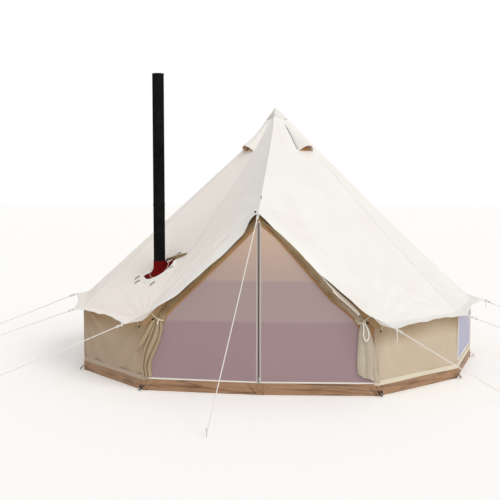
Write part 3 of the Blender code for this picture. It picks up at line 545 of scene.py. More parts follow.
# Guy ropes: the routes of the frame's ropes, in metres
ropes = {
    "radius": 0.004, "pitch": 0.030, "step": 0.0035, "lobe": 0.10,
    "hitchStart": 9, "hitchTurns": 4, "hitchStep": 2.1, "hitchOut": 1.75, "hitchSize": 0.85, "tailSize": 0.8,
    "routes": {
        "front": ((-0.0008, -1.8135, 1.5190), (-0.125, -2.407, 0.765), (-0.249, -3.000, 0.030)),
        "left_1": ((-1.1158, -1.9282, 0.5990), (-1.808, -2.039, 0.307), (-2.500, -2.150, 0.030)),
        "left_2": ((-1.8108, -1.0452, 0.5840), (-2.630, -1.273, 0.298), (-3.450, -1.500, 0.030)),
        "left_3": ((-2.1408, 0.0002, 0.5840), (-2.845, 0.145, 0.299), (-3.550, 0.290, 0.030)),
        "right_1": ((1.1170, -1.9277, 0.5990), (1.593, -1.914, 0.309), (2.070, -1.900, 0.030)),
        "right_2": ((1.8110, -1.0451, 0.5840), (2.596, -1.163, 0.298), (3.380, -1.280, 0.030)),
        "right_3": ((2.1406, 0.0000, 0.5840), (2.770, 0.050, 0.300), (3.400, 0.100, 0.030)),
        "right_4": ((1.8451, 1.0654, 0.5840), (2.588, 1.573, 0.298), (3.330, 2.080, 0.030)),
    },
    "tails": {"right_1": 0.105, "right_2": 0.05, "right_3": 0.085},
}
pegs = {"radius": 0.004, "height": 0.055, "hook": 0.014, "gap": 0.0003, "bend": 0.006, "end": 0.008}


def twistedRope(name, path, radius, **how):
    # Three strands: the radius is R (1 - lobe / 2 + lobe / 2 cos 3(a - 2 pi s / pitch)) at angle a, length s
    _, side, up = pathFrame(path, upward)
    a = turns(12)
    wave = np.cos(3 * (a - 2 * np.pi * runLength(path)[:, None] / ropes["pitch"]))
    r = radius * (1 - ropes["lobe"] / 2 + ropes["lobe"] / 2 * wave)
    outline = np.stack([r * np.cos(a), r * np.sin(a)], -1)
    return sweep(name, path, side, up, outline, "rope", crease=1.2, **how)


def makePeg(name, end, away, along):
    # A steel rod that stands at the rope's end and bends over it in a half circle
    x, y, _ = end + away * (pegs["radius"] - ropes["radius"] * along[2] + pegs["gap"])
    half, a = pegs["hook"] / 2, np.linspace(0, np.pi, 9)[:, None]
    arc = np.array([x, y, pegs["height"]]) + half * (away * (1 - np.cos(a)) + upward * np.sin(a))
    shaft = np.linspace((x, y, 0.0), (x, y, pegs["height"] - pegs["bend"]), 5)
    path = np.concatenate([shaft, arc, arc[-1:] - upward * pegs["end"]])
    return tube("steel_peg_" + name, path, pegs["radius"], "peg", sides=14, guide=np.cross(away, upward),
                stands=["peg_" + name])


def makeHitch(name, path):
    # A wrapped hitch: a helix round the rope just below its start, as side cos a + up sin a beside the path
    tangent, side, up = pathFrame(path, upward)
    a = np.linspace(0, ropes["hitchTurns"] * 2 * np.pi, 97)
    at = ropes["hitchStart"] + a / (2 * np.pi) * ropes["hitchStep"]
    low = at.astype(int)
    part, a = (at - low)[:, None], a[:, None]
    line = path[low] * (1 - part) + path[low + 1] * part \
        + (side[low] * np.cos(a) + up[low] * np.sin(a)) * (ropes["radius"] * ropes["hitchOut"])
    return tube("hitch_" + name, line, ropes["radius"] * ropes["hitchSize"], "rope", sides=8,
                guide=tangent[ropes["hitchStart"]])


def makeRopes():
    # Each guy rope with its peg and hitch, and three short tails that hang: start - length t, bent by sin 3t
    for name, route in ropes["routes"].items():
        path = smoothPath(route, 16)
        length = runLength(path)[-1]
        path = evenly(path, int(length / ropes["step"]))
        along = unit(np.array(route[-1]) - np.array(route[-2]))
        peg = makePeg(name, np.array(route[-1]), unit(along * (1, 1, 0)), along)
        rope = twistedRope("rope_" + name, path, ropes["radius"], stands=["guy_rope_" + name])
        makeHitch(name, path)
    drop = np.linspace(0, 1, 30)[:, None]
    for name, length in ropes["tails"].items():
        start = np.array(ropes["routes"][name][0]) + (0.006, -0.006, -0.006)
        line = start - upward * length * drop + np.array([0.006, -0.004, 0]) * np.sin(drop * 3.0)
        tail = tube("rope_tail_" + name, line, ropes["radius"] * ropes["tailSize"], "rope", guide=(1, 0, 0))
        round(float(runLength(line)[-1]), 4)


makeRopes()
print("ropes")


# Roof: each gore is a ruled sheet between two seams, drawn in, rippled and hemmed
folds = {"sag": 0.011, "ripple": 0.0035, "cornerFold": 0.005, "peakFold": 0.0035, "hemWave": 0.005, "crease": 0.008,
         "seed": 5, "fullWidth": 1.035, "seamLength": 2.6, "fanReach": 0.30, "fanWaves": 17}
jackAt = {"gore": -2, "s": 0.694, "t": 0.781, "clear": 0.22, "fade": 0.45, "across": 0.81}
roofSizes = {"columns": 41, "inset": 0.0008, "ridgeInset": 0.002, "seamWidth": 0.022, "seamRise": 0.0014,
             "hemWidth": 0.032, "hemRise": 0.0012, "hemTip": (0.0016, 0.001), "frontHem": 0.30, "frontHemMore": 0.7,
             "under": 0.0008}
bandOutline = [(-1, 0.0), (-0.96, 0.75), (-0.8, 1), (-0.3, 1), (0, 1.25), (0.3, 1), (0.8, 1), (0.96, 0.75), (1, 0.0)]


def bearing(turn, radius, height):
    # A point at that turn from -Y towards +X
    return joined(radius * np.sin(turn), -radius * np.cos(turn), height)


def cornerTurn(index):
    # 2 pi index / corners
    return index * 2 * np.pi / tent["corners"]


def fullness(turn, r):
    # How far the cloth fills out towards +X: F (r / a) e^(1 - r / a) (1 - (r / R)^4) sqrt(sin turn)
    a = tent["fullAt"]
    side = np.sqrt(np.clip(np.sin(turn), 0, None))
    return tent["full"] * side * r / a * np.exp(1 - r / a) * (1 - (r / tent["radius"]) ** 4)


def seamAt(index, r):
    # Straight from the pole to the knee, plus (peak - start)(1 - r / peakReach)^2 near the pole
    start, knee = (tent["ridgeHeight"], tent["ridgeEnd"]) if index == 0 else (tent["coneHeight"], tent["wallTop"])
    rise = (tent["peakHeight"] - start) * np.clip(1 - r / tent["peakReach"], 0, None) ** 2
    p = bearing(cornerTurn(index), r, start + (knee - start) * r / seamReach(index) + rise)
    return p + np.array([1.0, 0, 0]) * fullness(cornerTurn(index), r)[..., None]


def seamReach(index):
    # How far out a seam's knee lies: the radius, less the setback at the ridge
    return tent["radius"] - (tent["ridgeSetback"] if index == 0 else 0)


def seamRun(index, share):
    # The seam's point at a share of the way from the crown to the knee
    return seamAt(index, tent["crown"] + np.clip(share, 0, 1) * (seamReach(index) - tent["crown"]))


def overhang(index):
    # From the knee to the hem's corner
    if index == 0:
        return np.array([0, -tent["awningReach"], -tent["awningDrop"]])
    reach = tent["radius"] + tent["eaveReaches"].get(abs(index), tent["eaveReach"])
    drop = 0.0 if abs(index) == 1 else tent["eaveDrop"]
    return bearing(cornerTurn(index), reach, tent["wallTop"] - drop) - seamRun(index, np.array(1.0))


def gorePoint(first, s, t):
    # s runs from one seam to the next; t runs from the crown (0) to the knee (1) and the hem (2)
    share, arch, s1 = np.clip(t, 0, 1), 4 * s * (1 - s), s[..., None]
    p = seamRun(first, share) * (1 - s1) + seamRun(first + 1, share) * s1
    weight = (s ** 3 if first == 0 else 1 - (1 - s) ** 3 if first == -1 else s)[..., None]
    over = overhang(first) * (1 - weight) + overhang(first + 1) * weight
    over = over * (1 - tent["hemDraws"].get(first, tent["hemDraw"]) * arch)[..., None]
    if first not in tent["hemDrops"]:
        over = over + upward * tent["hemLift"] * arch[..., None]
    else:
        near = s1 + np.linspace(-0.12, 0.12, 9) * (s * (1 - s))[..., None]
        drop = np.interp(near, *np.array(tent["hemDrops"][first]).T).mean(-1)
        over = over - upward * drop[..., None]
    return p + over * np.clip(t - 1, 0, 1)[..., None]


def cornerFans(s, width, y, reach, count, phase, edges):
    # Folds that fan from a panel's two corners: cos(count angle + phase) (d / reach) e^(1 - d / reach)
    total = 0
    for corner, x in ((0, s * width), (1, (1 - s) * width)):
        rho = np.hypot(x, y) + 1e-6
        wave = np.cos(count * np.arctan2(x, y) + phase[corner])
        total = total + wave * np.exp(1 - rho / reach) * rho / reach * smoothStep(0, edges[0], x)
    return total * smoothStep(0, edges[1], y)


def goreFolds(first, s, t):
    # How far the cloth stands from the ruled sheet: sag between seams, folds that fan from the eave
    # corners and the peak, a slow unevenness, and waves in the free hem
    down, mid, turn = np.clip(t, 0, 1), np.sin(np.pi * s), 2 * np.pi * s
    width = goreWidth(t, 0)
    lift = -folds["sag"] * mid * (width / folds["fullWidth"]) ** 1.5 * np.sin(np.pi * down ** 1.6) ** 0.8
    phase = np.random.default_rng(folds["seed"] + first % 12).uniform(0, 2 * np.pi, 8)
    slow = np.sin(5.1 * s + 7.3 * t + phase[0]) + np.sin(9.7 * s - 4.1 * t + phase[1])
    slow = slow + 0.6 * np.sin(15.0 * t + 3.0 * s + phase[2])
    lift = lift + folds["ripple"] * 0.5 * slow * mid * np.sin(np.pi * down) * np.minimum(width / 0.5, 1)
    peak = np.exp(-((down - 0.06) / 0.10) ** 2)
    lift = lift + folds["peakFold"] * np.cos(2 * turn + phase[3]) * mid ** 2 * peak
    lift = lift + folds["cornerFold"] * cornerFans(s, width, (1 - down) * folds["seamLength"], folds["fanReach"],
                                                   folds["fanWaves"], phase[4:], (0.05, 0.06))
    wave = np.sin(2.5 * turn + phase[6]) + 0.5 * np.sin(5.5 * turn + phase[7])
    lift = lift + folds["hemWave"] * wave * mid * np.clip(t - 1, 0, 1) ** 1.3
    if first == -1:
        past = np.where(t > 1, (t - 1) / 0.10, (t - 1) / 0.013)
        bent = 0.8 * np.exp(-((t - 1.38) / 0.22) ** 2) - np.exp(-past ** 2)
        lift = lift + folds["crease"] * bent * smoothStep(0, 0.05, mid)
    if first == jackAt["gore"]:
        away = np.hypot((s - jackAt["s"]) * jackAt["across"], (t - jackAt["t"]) * folds["seamLength"])
        lift = lift * smoothStep(jackAt["clear"], jackAt["fade"], away)
    return lift


def roofAt(first, s, t):
    # The folded cloth and its outward normal, from differences of 1 / 1000 of the gore
    s, t = np.broadcast_arrays(np.asarray(s, float), np.asarray(t, float))
    e = 0.001
    left, upper = np.minimum(s, 1 - e), np.minimum(t, np.where(t < 1, 1, 2) - e)
    side = gorePoint(first, left + e, t) - gorePoint(first, left, t)
    down = gorePoint(first, s, upper + e) - gorePoint(first, s, upper)
    base = unit(np.cross(down, side))
    base = base * np.sign(base[..., 2:3])
    return gorePoint(first, s, t) + base * goreFolds(first, s, t)[..., None], base


def goreRows():
    # Rows are closer near the peak, the knee and the hem
    run = [(0, 0.12, 14), (0.12, 0.86, 44), (0.86, 1, 18), (1, 2, 12)]
    rows = [np.linspace(*part)[:-1] for part in run]
    return np.concatenate([*rows, [2.0]])


def goreName(first):
    if first in (0, -1):
        return "roof_front_right" if first == 0 else "roof_front_left"
    return f"roof_right_{first}" if first > 0 else f"roof_left_{-first - 1}"


def goreWidth(t, least=0.02):
    # The chord 2 r sin(pi / corners) at the radius that t reaches
    reach = tent["crown"] + np.clip(t, 0, 1) * (tent["radius"] - tent["crown"])
    return np.maximum(2 * reach * np.sin(np.pi / tent["corners"]), least)


def makeGores():
    # Each gore lies between its two seams, less an inset; its flat cut is its hem's width by its middle's length
    t = goreRows()[:, None]
    wide, made = goreWidth(t), {}
    for first in range(-6, 6):
        low, high = (roofSizes["ridgeInset" if k == 0 else "inset"] / wide for k in (first, first + 1))
        s = low + (1 - high - low) * np.linspace(0, 1, roofSizes["columns"])
        p, n = roofAt(first, s, t)
        down = runLength(p[:, 20])
        length, width = down[-1], np.linalg.norm(p[-1, 0] - p[-1, -1])
        area = 0.5 * width * length if first in (0, -1) else (wide[:-1, 0] * np.diff(down)).sum()
        name = goreName(first)
        made[first] = cloth(name + "_cloth", p, n, tent["canvas"], "roof", (width, length), "centre_pole_upper",
                            area=round(float(min(area, width * length)), 3), stands=[name])
    return made


def followBand(name, index, t, half, rise, look="trim"):
    # A low rounded band along a hip, half metres wide to each side at each t, that follows both gores
    share = np.minimum(half / goreWidth(t), 0.45)
    over, under = [], []
    for x, y in bandOutline:
        p, n = hipPoint(index, share * x, t, x >= 0)
        over.append(p + n * rise * y)
        under.append(p - n * roofSizes["under"])
    ringSurface(name, np.stack(over + under[::-1], 1), look)


def hipPoint(index, share, t, right):
    # A point of the gore to the right (share from 0) or to the left (share up to 0) of a hip
    first = index if right else index - 1
    return roofAt(5 if first < -6 else first, share if right else 1 + share, t)


def makeHems():
    # The eave's doubled hem: a band round the cloth's edge, one for each gore
    s, ramp = np.linspace(0.002, 0.998, 61), np.linspace(roofSizes["frontHemMore"], 0.0, 61)
    past, under = roofSizes["hemTip"]
    lifts = ((1.0, 0.4), (0.97, 1.0), (0.5, 1.0), (0.04, 1.0), (0.0, 0.0))
    for first in range(-6, 6):
        over = np.linalg.norm(overhang(first)) * (1 - s) + np.linalg.norm(overhang(first + 1)) * s
        draw = tent["hemDraws"].get(first, tent["hemDraw"])
        back = np.minimum(roofSizes["hemWidth"] / (over * (1 - draw * 4 * s * (1 - s))), 0.9)
        if first in (0, -1):
            back = np.minimum(0.99, roofSizes["frontHem"] + (ramp if first == 0 else ramp[::-1]))
        outer, inner = [], []
        for share, lift in lifts:
            p, n = roofAt(first, s, 2 - back * share)
            outer.append(p + n * roofSizes["hemRise"] * lift)
            inner.append(p - n * (tent["canvas"] + roofSizes["hemRise"] * lift))
        edge, n = roofAt(first, s, 2.0)
        drop = unit(edge - roofAt(first, s, 1.9)[0])
        rings = outer + [edge + drop * past - n * under] + inner[::-1]
        ringSurface(f"eave_hem_{first % 12}", np.stack(rings, 1), "trim")


tabs = {"long": 0.085, "tip": 0.010, "widen": 0.62, "rise": 0.0032, "least": 0.09, "eyeletBack": 0.014,
        "eyeletRise": 0.0042, "eyelet": (0.006, 0.0017)}


def makeTabs():
    # Reinforced corners of the eave with an eyelet each, wider away from the hem
    back = np.linspace(tabs["long"], 0.0, 12)
    for index in range(-6, 6):
        over = max(np.linalg.norm(overhang(index)), tabs["least"])
        half = tabs["tip"] + back * tabs["widen"]
        followBand(f"eave_tab_{index % 12}", index, 2 - back / over, half, tabs["rise"])
        spot, n = roofAt(index, 0.0, 2 - tabs["eyeletBack"] / over)
        putRing(f"eyelet_{index % 12}", spot + n * tabs["eyeletRise"], n, *tabs["eyelet"], "steel")


seamLines = {"over": 0.0010, "groove": (1, 0.125, 0.345, 0.0042, "seamShade"),
             "fine": (2, 0.45, tent["radius"], 0.0040, "seamLine"), "crease": (0.925, 0.960), "creaseHalf": 0.0034,
             "hole": (0.975, 1.80), "holeEnds": (0.003, 0.014), "holeRadius": 0.008}


def makeSeamLines():
    # Painted shade: a dark band in the groove of the right front hip below the cap, a grey fine line on the next hip, a
    # dark line along the crease at the ridge's end, and a black plug for the dark hole of the awning's eyelet beside
    # its tie
    reach, rise = tent["radius"] - tent["crown"], roofSizes["seamRise"] * 1.25 + seamLines["over"]
    grow = np.clip(8 * np.linspace(0, 1, 90), 0.2, 1)
    for name in ("groove", "fine"):
        index, *ends, half, look = seamLines[name]
        t = np.linspace(*((k - tent["crown"]) / reach for k in ends), 90)
        followBand(f"roof_seam_{name}", index, t, half * grow, rise, look)
    half = seamLines["creaseHalf"] * np.sin(np.pi * np.linspace(0.1, 0.9, 20))
    followBand("roof_ridge_crease", 0, np.linspace(*seamLines["crease"], 20), half, rise, "seamShade")
    spot, n = roofAt(-1, *seamLines["hole"])
    # Painted shade: a black plug stands for the dark hole of the eyelet
    tube("awning_eyelet_shade", smoothPath([spot + n * k for k in seamLines["holeEnds"]], 3), seamLines["holeRadius"],
         "darkWeb", slot="trim_canvas")


capSizes = {"radius": 0.085, "lift": 0.0034, "cloth": 0.0018, "oval": 0.03, "ribs": 0.0016, "tip": 0.003,
            "flare": 0.004, "hem": 0.0026}


def makeCap():
    # The peak's cap: a small cone that follows the seams, with a rolled hem
    radius = capSizes["radius"]
    r = np.concatenate([np.linspace(0.0, 0.02, 5)[1:], np.linspace(0.026, radius, 14)])
    seams = np.stack([seamAt(k, r) for k in range(12)], 1)[:, :, None]
    f, a, r = np.linspace(0, 1, 9)[:-1, None], turns(96), r[:, None]
    outer = (seams * (1 - f) + np.roll(seams, -1, 1) * f).reshape(len(r), -1, 3)
    outer[..., :2] *= (1 + capSizes["oval"] * np.cos(6 * a + 0.7) * smoothStep(0.05, radius, r))[..., None]
    outer[..., 2] += capSizes["lift"] + capSizes["ribs"] * np.cos(12 * a) * smoothStep(0.01, 0.06, r) \
        + capSizes["tip"] * smoothStep(0.05, 0.0, r) + capSizes["flare"] * smoothStep(0.02, 0.075, r)
    inner = outer - upward * capSizes["cloth"]
    grid = np.concatenate([outer, inner[::-1]])
    middle = [(0, 0, outer[0, 0, 2] + 0.001), (0, 0, inner[0, 0, 2])]
    points = np.concatenate([grid.reshape(-1, 3), middle])
    faces = [gridQuads(*grid.shape[:2], wrap=True), endFans(*grid.shape[:2])]
    cap = putMesh("peak_cap_cloth", points, faces, "cap", uv=[points[f][:, :, :2] for f in faces], stands=["peak_cap"])
    asSheet(cap)
    edge = outer[-1]
    sweep("peak_cap_hem", edge, unit(edge * (1, 1, 0)), upward, circle(capSizes["hem"], 8), "cap", closed=True)


vents = {"top": 0.088, "mouth": 0.343, "half": 0.084, "tip": 0.22, "height": 0.078, "lift": 0.0006,
         "crease": 0.0022, "lining": 0.0006, "liningGap": 0.0008, "binding": (0.012, 0.0042), "hole": 0.09,
         "holeHalf": 0.045, "inside": 0.72, "spill": 1.1, "netDepth": 0.0045}


def ventSpot(first, r, aside):
    # A point of the gore r down its middle and aside from it, and the way out of the cloth
    half = np.pi / tent["corners"]
    t = (r / np.cos(half) - tent["crown"]) / (tent["radius"] - tent["crown"])
    s, t = np.broadcast_arrays(0.5 + aside / (2 * r * np.tan(half)), t)
    return gorePoint(first, s, t), roofAt(first, s, t)[1]


def makeVents():
    # Hoods: rise = height u (1 - |v|^2.2)(1 - 0.1 sin pi u) plus small creases, u down the gore and v across.
    # Each has a lining and a sheet on the roof under it, both orange as painted shade and glow of light through the
    # canvas, a bound mouth, and a net over the hole that is cut under it
    u, v = np.linspace(0, 1, 25)[:, None], np.linspace(-1, 1, 33)
    length, thick = vents["mouth"] - vents["top"], tent["canvas"]
    rise = vents["height"] * u * (1 - np.abs(v) ** 2.2) * (1 - 0.10 * np.sin(np.pi * u)) + vents["lift"] \
        + vents["crease"] * np.sin(9 * np.pi * v + 2.0 * u) * u * (1 - v * v)
    for name, first, stands in (("right", 1, ["vent_hood_right"]), ("left", -2, ["vent_hood_left"]),
                                ("back_right", 4, []), ("back_left", -5, [])):
        p, n = ventSpot(first, vents["top"] + u * length, v * vents["half"] * (vents["tip"] + (1 - vents["tip"]) * u))
        rests = goreName(first)
        cloth(f"vent_hood_{name}_cloth", p + n * (rise + thick)[..., None], n, thick, "trim",
              (0.27, length * 1.1), rests, area=0.057, stands=stands)
        part = slice(8, 25), slice(3, 30)
        # Painted glow and shade: the lining sheet's orange under the hood
        cloth(f"vent_painted_lining_{name}", (p + n * (rise - vents["liningGap"])[..., None])[part], n[part],
              vents["lining"], "ventPaintedGlow", (0.16, length * 0.95), rests)
        along, out = unit(p[-1, 16] - p[-2, 16]), n[-1, 16]
        mouth = p[-1] + n[-1] * (rise[-1] + thick / 2)[:, None]
        sweep(f"vent_binding_{name}", mouth + along * 0.001, along, n[-1], strapOutline(*vents["binding"]),
              "trim")
        part = slice(11, 25), slice(2, 31)
        # Painted glow and shade: an orange sheet on the roof under the hood, cut round the hole
        base = slab(f"vent_painted_floor_{name}", (p + n * vents["liningGap"])[part], n[part], vents["lining"],
                    "ventPaintedGlow")
        axes, half = (along, np.cross(along, out), out), (vents["hole"] / 2, vents["holeHalf"], 0.02)
        spot = ventSpot(first, np.array(vents["mouth"] - vents["hole"] * vents["inside"]), np.array(0.0))[0]
        for piece in (gores[first], base):
            cutAway(piece, boxAt(spot, axes, half))
        net = spot + along * (np.linspace(-1, 1, 9)[:, None, None] * half[0] * vents["spill"]) \
            + axes[1] * (np.linspace(-1, 1, 17)[:, None] * half[1] * vents["spill"]) - out * vents["netDepth"]
        cloth(f"vent_net_{name}", net, out, vents["lining"], "ventNet", (0.099, 0.099), rests)


gores = makeGores()
for seam in range(-6, 6):
    followBand(f"roof_seam_{seam % 12}", seam, goreRows(), roofSizes["seamWidth"] / 2, roofSizes["seamRise"])
makeHems()
makeTabs()
makeSeamLines()
makeCap()
makeVents()
print("roof, cap and vents")

# Walls: corner points on the ground, and the wrinkled panels between them
walls = {"top": 0.5977, "bottom": 0.1003, "inset": 0.00075, "jamb": 0.043, "belly": 0.005, "fold": 0.0036,
         "wave": 0.0022, "fanReach": 0.22, "fanWaves": 13, "flapTop": 0.130, "flapFoot": 0.090, "flapOut": 0.004,
         "flapGap": 0.0012, "flapCloth": 0.0011, "flapWave": 0.003, "seam": 0.020, "step": 0.022}
windows = {"margin": 0.05, "bottom": 0.16, "top": 0.555, "binding": (0.016, 0.0062), "over": 0.004, "depth": 0.003,
           "wave": 0.002, "net": 0.0008, "roll": 0.0105, "rollUp": 0.021, "rollOut": 0.011, "ties": (-0.6, 0.0, 0.6)}


def wallCorner(index):
    # On the ground at the radius, less the setback at the doorway's corner
    index = (index + 6) % 12 - 6
    return bearing(cornerTurn(index), tent["radius"] - (tent["doorSetback"] if index == 0 else 0), 0.0)


def wallLine(first, last, side=1):
    # The wall's foot between two corners, a little short of both, and mirrored for the left side
    line = np.array([wallCorner(k) for k in range(first, last + 1)])
    ends = line[[1, -2]] - line[[0, -1]]
    line[[0, -1]] += unit(ends) * walls["inset"]
    return line * (side, 1, 1)


def outwards(a, b):
    # The level normal of the line from a to b that looks away from the pole
    out = unit(np.array([(b - a)[1], -(b - a)[0], 0.0]))
    return out * np.sign((out * (a + b)).sum())


def wallStations(line, step):
    # Even steps along each span, with each station's outward normal and its share of the span
    rows = []
    for a, b in zip(line, line[1:]):
        length = np.linalg.norm(b - a)
        s = np.linspace(0, 1, max(int(length / step), 3) + 1)[:, None]
        row = np.concatenate([a + (b - a) * s, 0 * s + outwards(a, b), s, 0 * s + length], 1)
        rows.append(row[:-1])
    rows = np.concatenate([*rows, row[-1:]])
    spots, normals, shares, spans = rows[:, :3], rows[:, 3:6], rows[:, 6], rows[:, 7]
    for k in np.flatnonzero(shares[1:] == 0) + 1:
        normals[k] = (normals[k - 1] + normals[k]) / (1 + (normals[k - 1] * normals[k]).sum())
    return spots, normals, shares, spans


def wallFolds(s, w, v, seed, deep):
    # Belly in, folds that fan down from the top corners, slow waves; zero at the corners and the top
    phase = np.random.default_rng(seed).uniform(0, 2 * np.pi, 6)
    mid, narrow = np.clip(4 * s * (1 - s), 0, 1), np.minimum(w, 1)
    fans = cornerFans(s, w, v * (walls["top"] - walls["bottom"]), walls["fanReach"], walls["fanWaves"], phase,
                      (0.03, 0.03))
    slow = np.sin(6.5 * s * w + 4 * v + phase[2]) + np.sin(14 * s * w - 7 * v + phase[3])
    lift = deep * walls["fold"] * fans * narrow - walls["belly"] * mid * np.sin(np.pi * v) * narrow \
        + walls["wave"] * slow * mid * np.sin(np.pi * np.clip(v, 0, 1)) ** 0.5
    return np.minimum(lift, lift * smoothStep(0.93, 0.74, v))


def wallPanel(name, line, seed, area=None, deep=1.0):
    # The panel: each station's spot plus its normal times the folds, from the top down to the rim
    spots, normals, shares, spans = wallStations(line, walls["step"])
    v = np.linspace(0, 1, 26)[:, None]
    z = walls["top"] + (walls["bottom"] - walls["top"]) * v[..., None]
    p = spots + normals * wallFolds(shares, spans, v, seed, deep)[..., None] + upward * z
    width = runLength(line)[-1]
    panel = cloth(name + "_cloth", p, normals, tent["canvas"], "wall", (width, 0.497), "roof_front_right",
                  held="hung", area=area, stands=[name])
    # The outer hem flap over the groundsheet's rim: flared and wavy, with a doubled edge
    phase = np.random.default_rng(seed + 40).uniform(0, 2 * np.pi, 3)
    v = np.concatenate([np.linspace(0, 0.7, 8), np.linspace(0.74, 1, 6)])[:, None]
    mid, along = np.clip(4 * shares * (1 - shares), 0, 1), shares * spans
    wave = 0.5 + 0.5 * np.sin(11 * along + phase[0]) * np.sin(4.3 * along + phase[1])
    out = walls["flapGap"] * (1 + smoothStep(0.70, 0.745, v)) \
        + walls["flapOut"] * (0.35 + 0.65 * wave * mid) * smoothStep(0.1, 1.0, v)
    z = walls["flapTop"] + (walls["flapFoot"] - walls["flapTop"]) * v \
        + walls["flapWave"] * np.sin(5 * along + phase[2]) * mid * v
    cloth(name + "_cloth_hem_flap", spots + normals * out[..., None] + upward * z[..., None], normals,
          walls["flapCloth"], "wallHem", (width, 0.040), name + "_cloth", held="hung")
    return panel


def makeWallSeams():
    # Upright bands over the corners, each ring the same outline at its own height
    z, half = np.linspace(walls["top"] - 0.004, walls["flapTop"] - 0.02, 24)[:, None], walls["seam"] / 2
    for index in range(1, 12):
        corner = wallCorner(index)
        before, after = (unit(wallCorner(index + k) - corner) for k in (-1, 1))
        out = unit(corner) if index in (1, 11) else unit(-(before + after))
        rings = [corner + (before if x < 0 else after) * half * abs(x) + out * lift + upward * z
                 for x, lift in ((-1, 0.0), (-0.85, 0.0013), (0, 0.0018), (0.85, 0.0013), (1, 0.0),
                                 (0.9, -0.0008), (0, -0.0008), (-0.9, -0.0008))]
        ringSurface(f"wall_seam_{index}", np.stack(rings, 1), "wall")


def makeWindow(name, side, panel):
    # The net in its cut-out, its binding, and the cover rolled up above it with three ties
    a, b = wallLine(2, 3, side)
    across, out, middle = unit(b - a), outwards(a, b), (a + b) / 2
    low, high = windows["bottom"], windows["top"]
    centre = middle + upward * (low + high) / 2
    half, tall, more = np.linalg.norm(b - a) / 2 - windows["margin"], (high - low) / 2, windows["over"]
    cutAway(panel, boxAt(centre, (across, upward, out), (half, tall, 0.05)))
    u, v = np.linspace(-1, 1, 31)[:, None], np.linspace(1, -1, 25)[:, None, None]
    wave = -windows["depth"] - windows["wave"] * np.sin(7 * u + 3 * v) * (1 - u * u) * (1 - v * v)
    p = centre + across * u * (half + more) + upward * v * (tall + more) + out * wave
    cloth(f"window_net_{name}", p, out, windows["net"], "windowNet", (2 * (half + more), 2 * (tall + more)),
          f"wall_{name}_window_cloth", stands=[f"window_mesh_{name}"])
    corners = np.array([(-1, -1), (1, -1), (1, 1), (-1, 1), (-1, -1)], float)
    path = np.concatenate([np.linspace(c, d, 24)[:-1] for c, d in zip(corners, corners[1:])])
    spots = centre + across * path[:, :1] * half + upward * path[:, 1:] * tall
    sweep(f"window_binding_{name}", spots + out * 0.0004, unit(centre - spots), out,
          strapOutline(*windows["binding"]), "trim", closed=True, slot="wall_canvas")
    top = middle + upward * (high + windows["rollUp"]) + out * windows["rollOut"]
    roll = np.linspace(-1, 1, 40)[:, None]
    tube(f"window_cover_{name}", top + across * roll * (half + 0.01) + upward * (0.002 * np.sin(9 * roll)),
         windows["roll"], "wall", sides=16)
    for k, x in enumerate(windows["ties"]):
        putRing(f"window_tie_{name}_{k}", top + across * x * half, across, windows["roll"] + 0.001, 0.002, "web")


def makeWalls():
    # Front, window and rear panels on both sides, and the one behind
    for name, side in sides.items():
        jamb = wallCorner(side) - doorAxis(side) * walls["jamb"]
        line = np.array([jamb, wallCorner(side), wallLine(1, 2, side)[-1]])
        wallPanel(f"wall_{name}_front", line, 21 + side, deep=3.6 if name == "left" else 1.6)
        makeWindow(name, side, wallPanel(f"wall_{name}_window", wallLine(2, 3, side), 31 + side, area=0.155))
        wallPanel(f"wall_{name}_rear", wallLine(3, 5, side), 41 + side)
    wallPanel("wall_back", wallLine(5, 7), 51)
    makeWallSeams()


rimFolds = {"step": 0.013, "cloth": 0.0018, "wide": 0.1, "fan": 0.0100, "fanReach": 0.13, "in": 0.0015,
            "flare": 0.004, "waves": ((9, 0.0010, 0), (23, 0.0006, 1))}


def makeRim():
    # The groundsheet's turned-up rim: waved, with folds that fan out from its corners
    line = np.array([wallCorner(k) for k in range(13)])
    spots, normals, shares, spans = (k[:-1] for k in wallStations(line, rimFolds["step"]))
    normals[0] = forward
    rise, along, share = np.linspace(0, 1, 15), runLength(spots)[:, None], shares[:, None]
    mid = np.clip(4 * share * (1 - share), 0, 1)
    near = np.minimum(share, 1 - share) * spans[:, None]
    wave = sum(deep * np.sin(count * along + start) for count, deep, start in rimFolds["waves"]) - rimFolds["in"]
    fan = rimFolds["fan"] * np.cos(12 * np.arctan2(near, rise * rimFolds["wide"] + 0.02)) \
        * np.exp(-near / rimFolds["fanReach"]) * smoothStep(0, 0.03, near)
    first = rise - 0.78 + 0.55 * share + 0.06 * np.sin(7 * share + 1)
    second = rise - 0.45 - 0.30 * share
    long = 0.0120 * np.exp(-(first / 0.08) ** 2) - 0.007 * np.exp(-((first + 0.14) / 0.07) ** 2) \
        + 0.0070 * np.exp(-(second / 0.06) ** 2)
    flare = rimFolds["flare"] * (1 - rise) ** 3 * (0.3 + 0.7 * mid)
    out = (fan + flare + (wave + long) * mid) * smoothStep(1.05, 0.9, rise)
    outer = spots[:, None] + normals[:, None] * out[..., None] + upward * (rise * tent["rim"])[:, None]
    grid = np.concatenate([outer, outer[:, ::-1] - normals[:, None] * rimFolds["cloth"]], 1)
    flat = np.concatenate([rise, 1 + rise]) * rimFolds["wide"]
    rim = torusSurface("groundsheet_rim_vinyl", grid, "rim", joined(along, flat),
                       stands=["groundsheet_rim"])
    asSheet(rim)


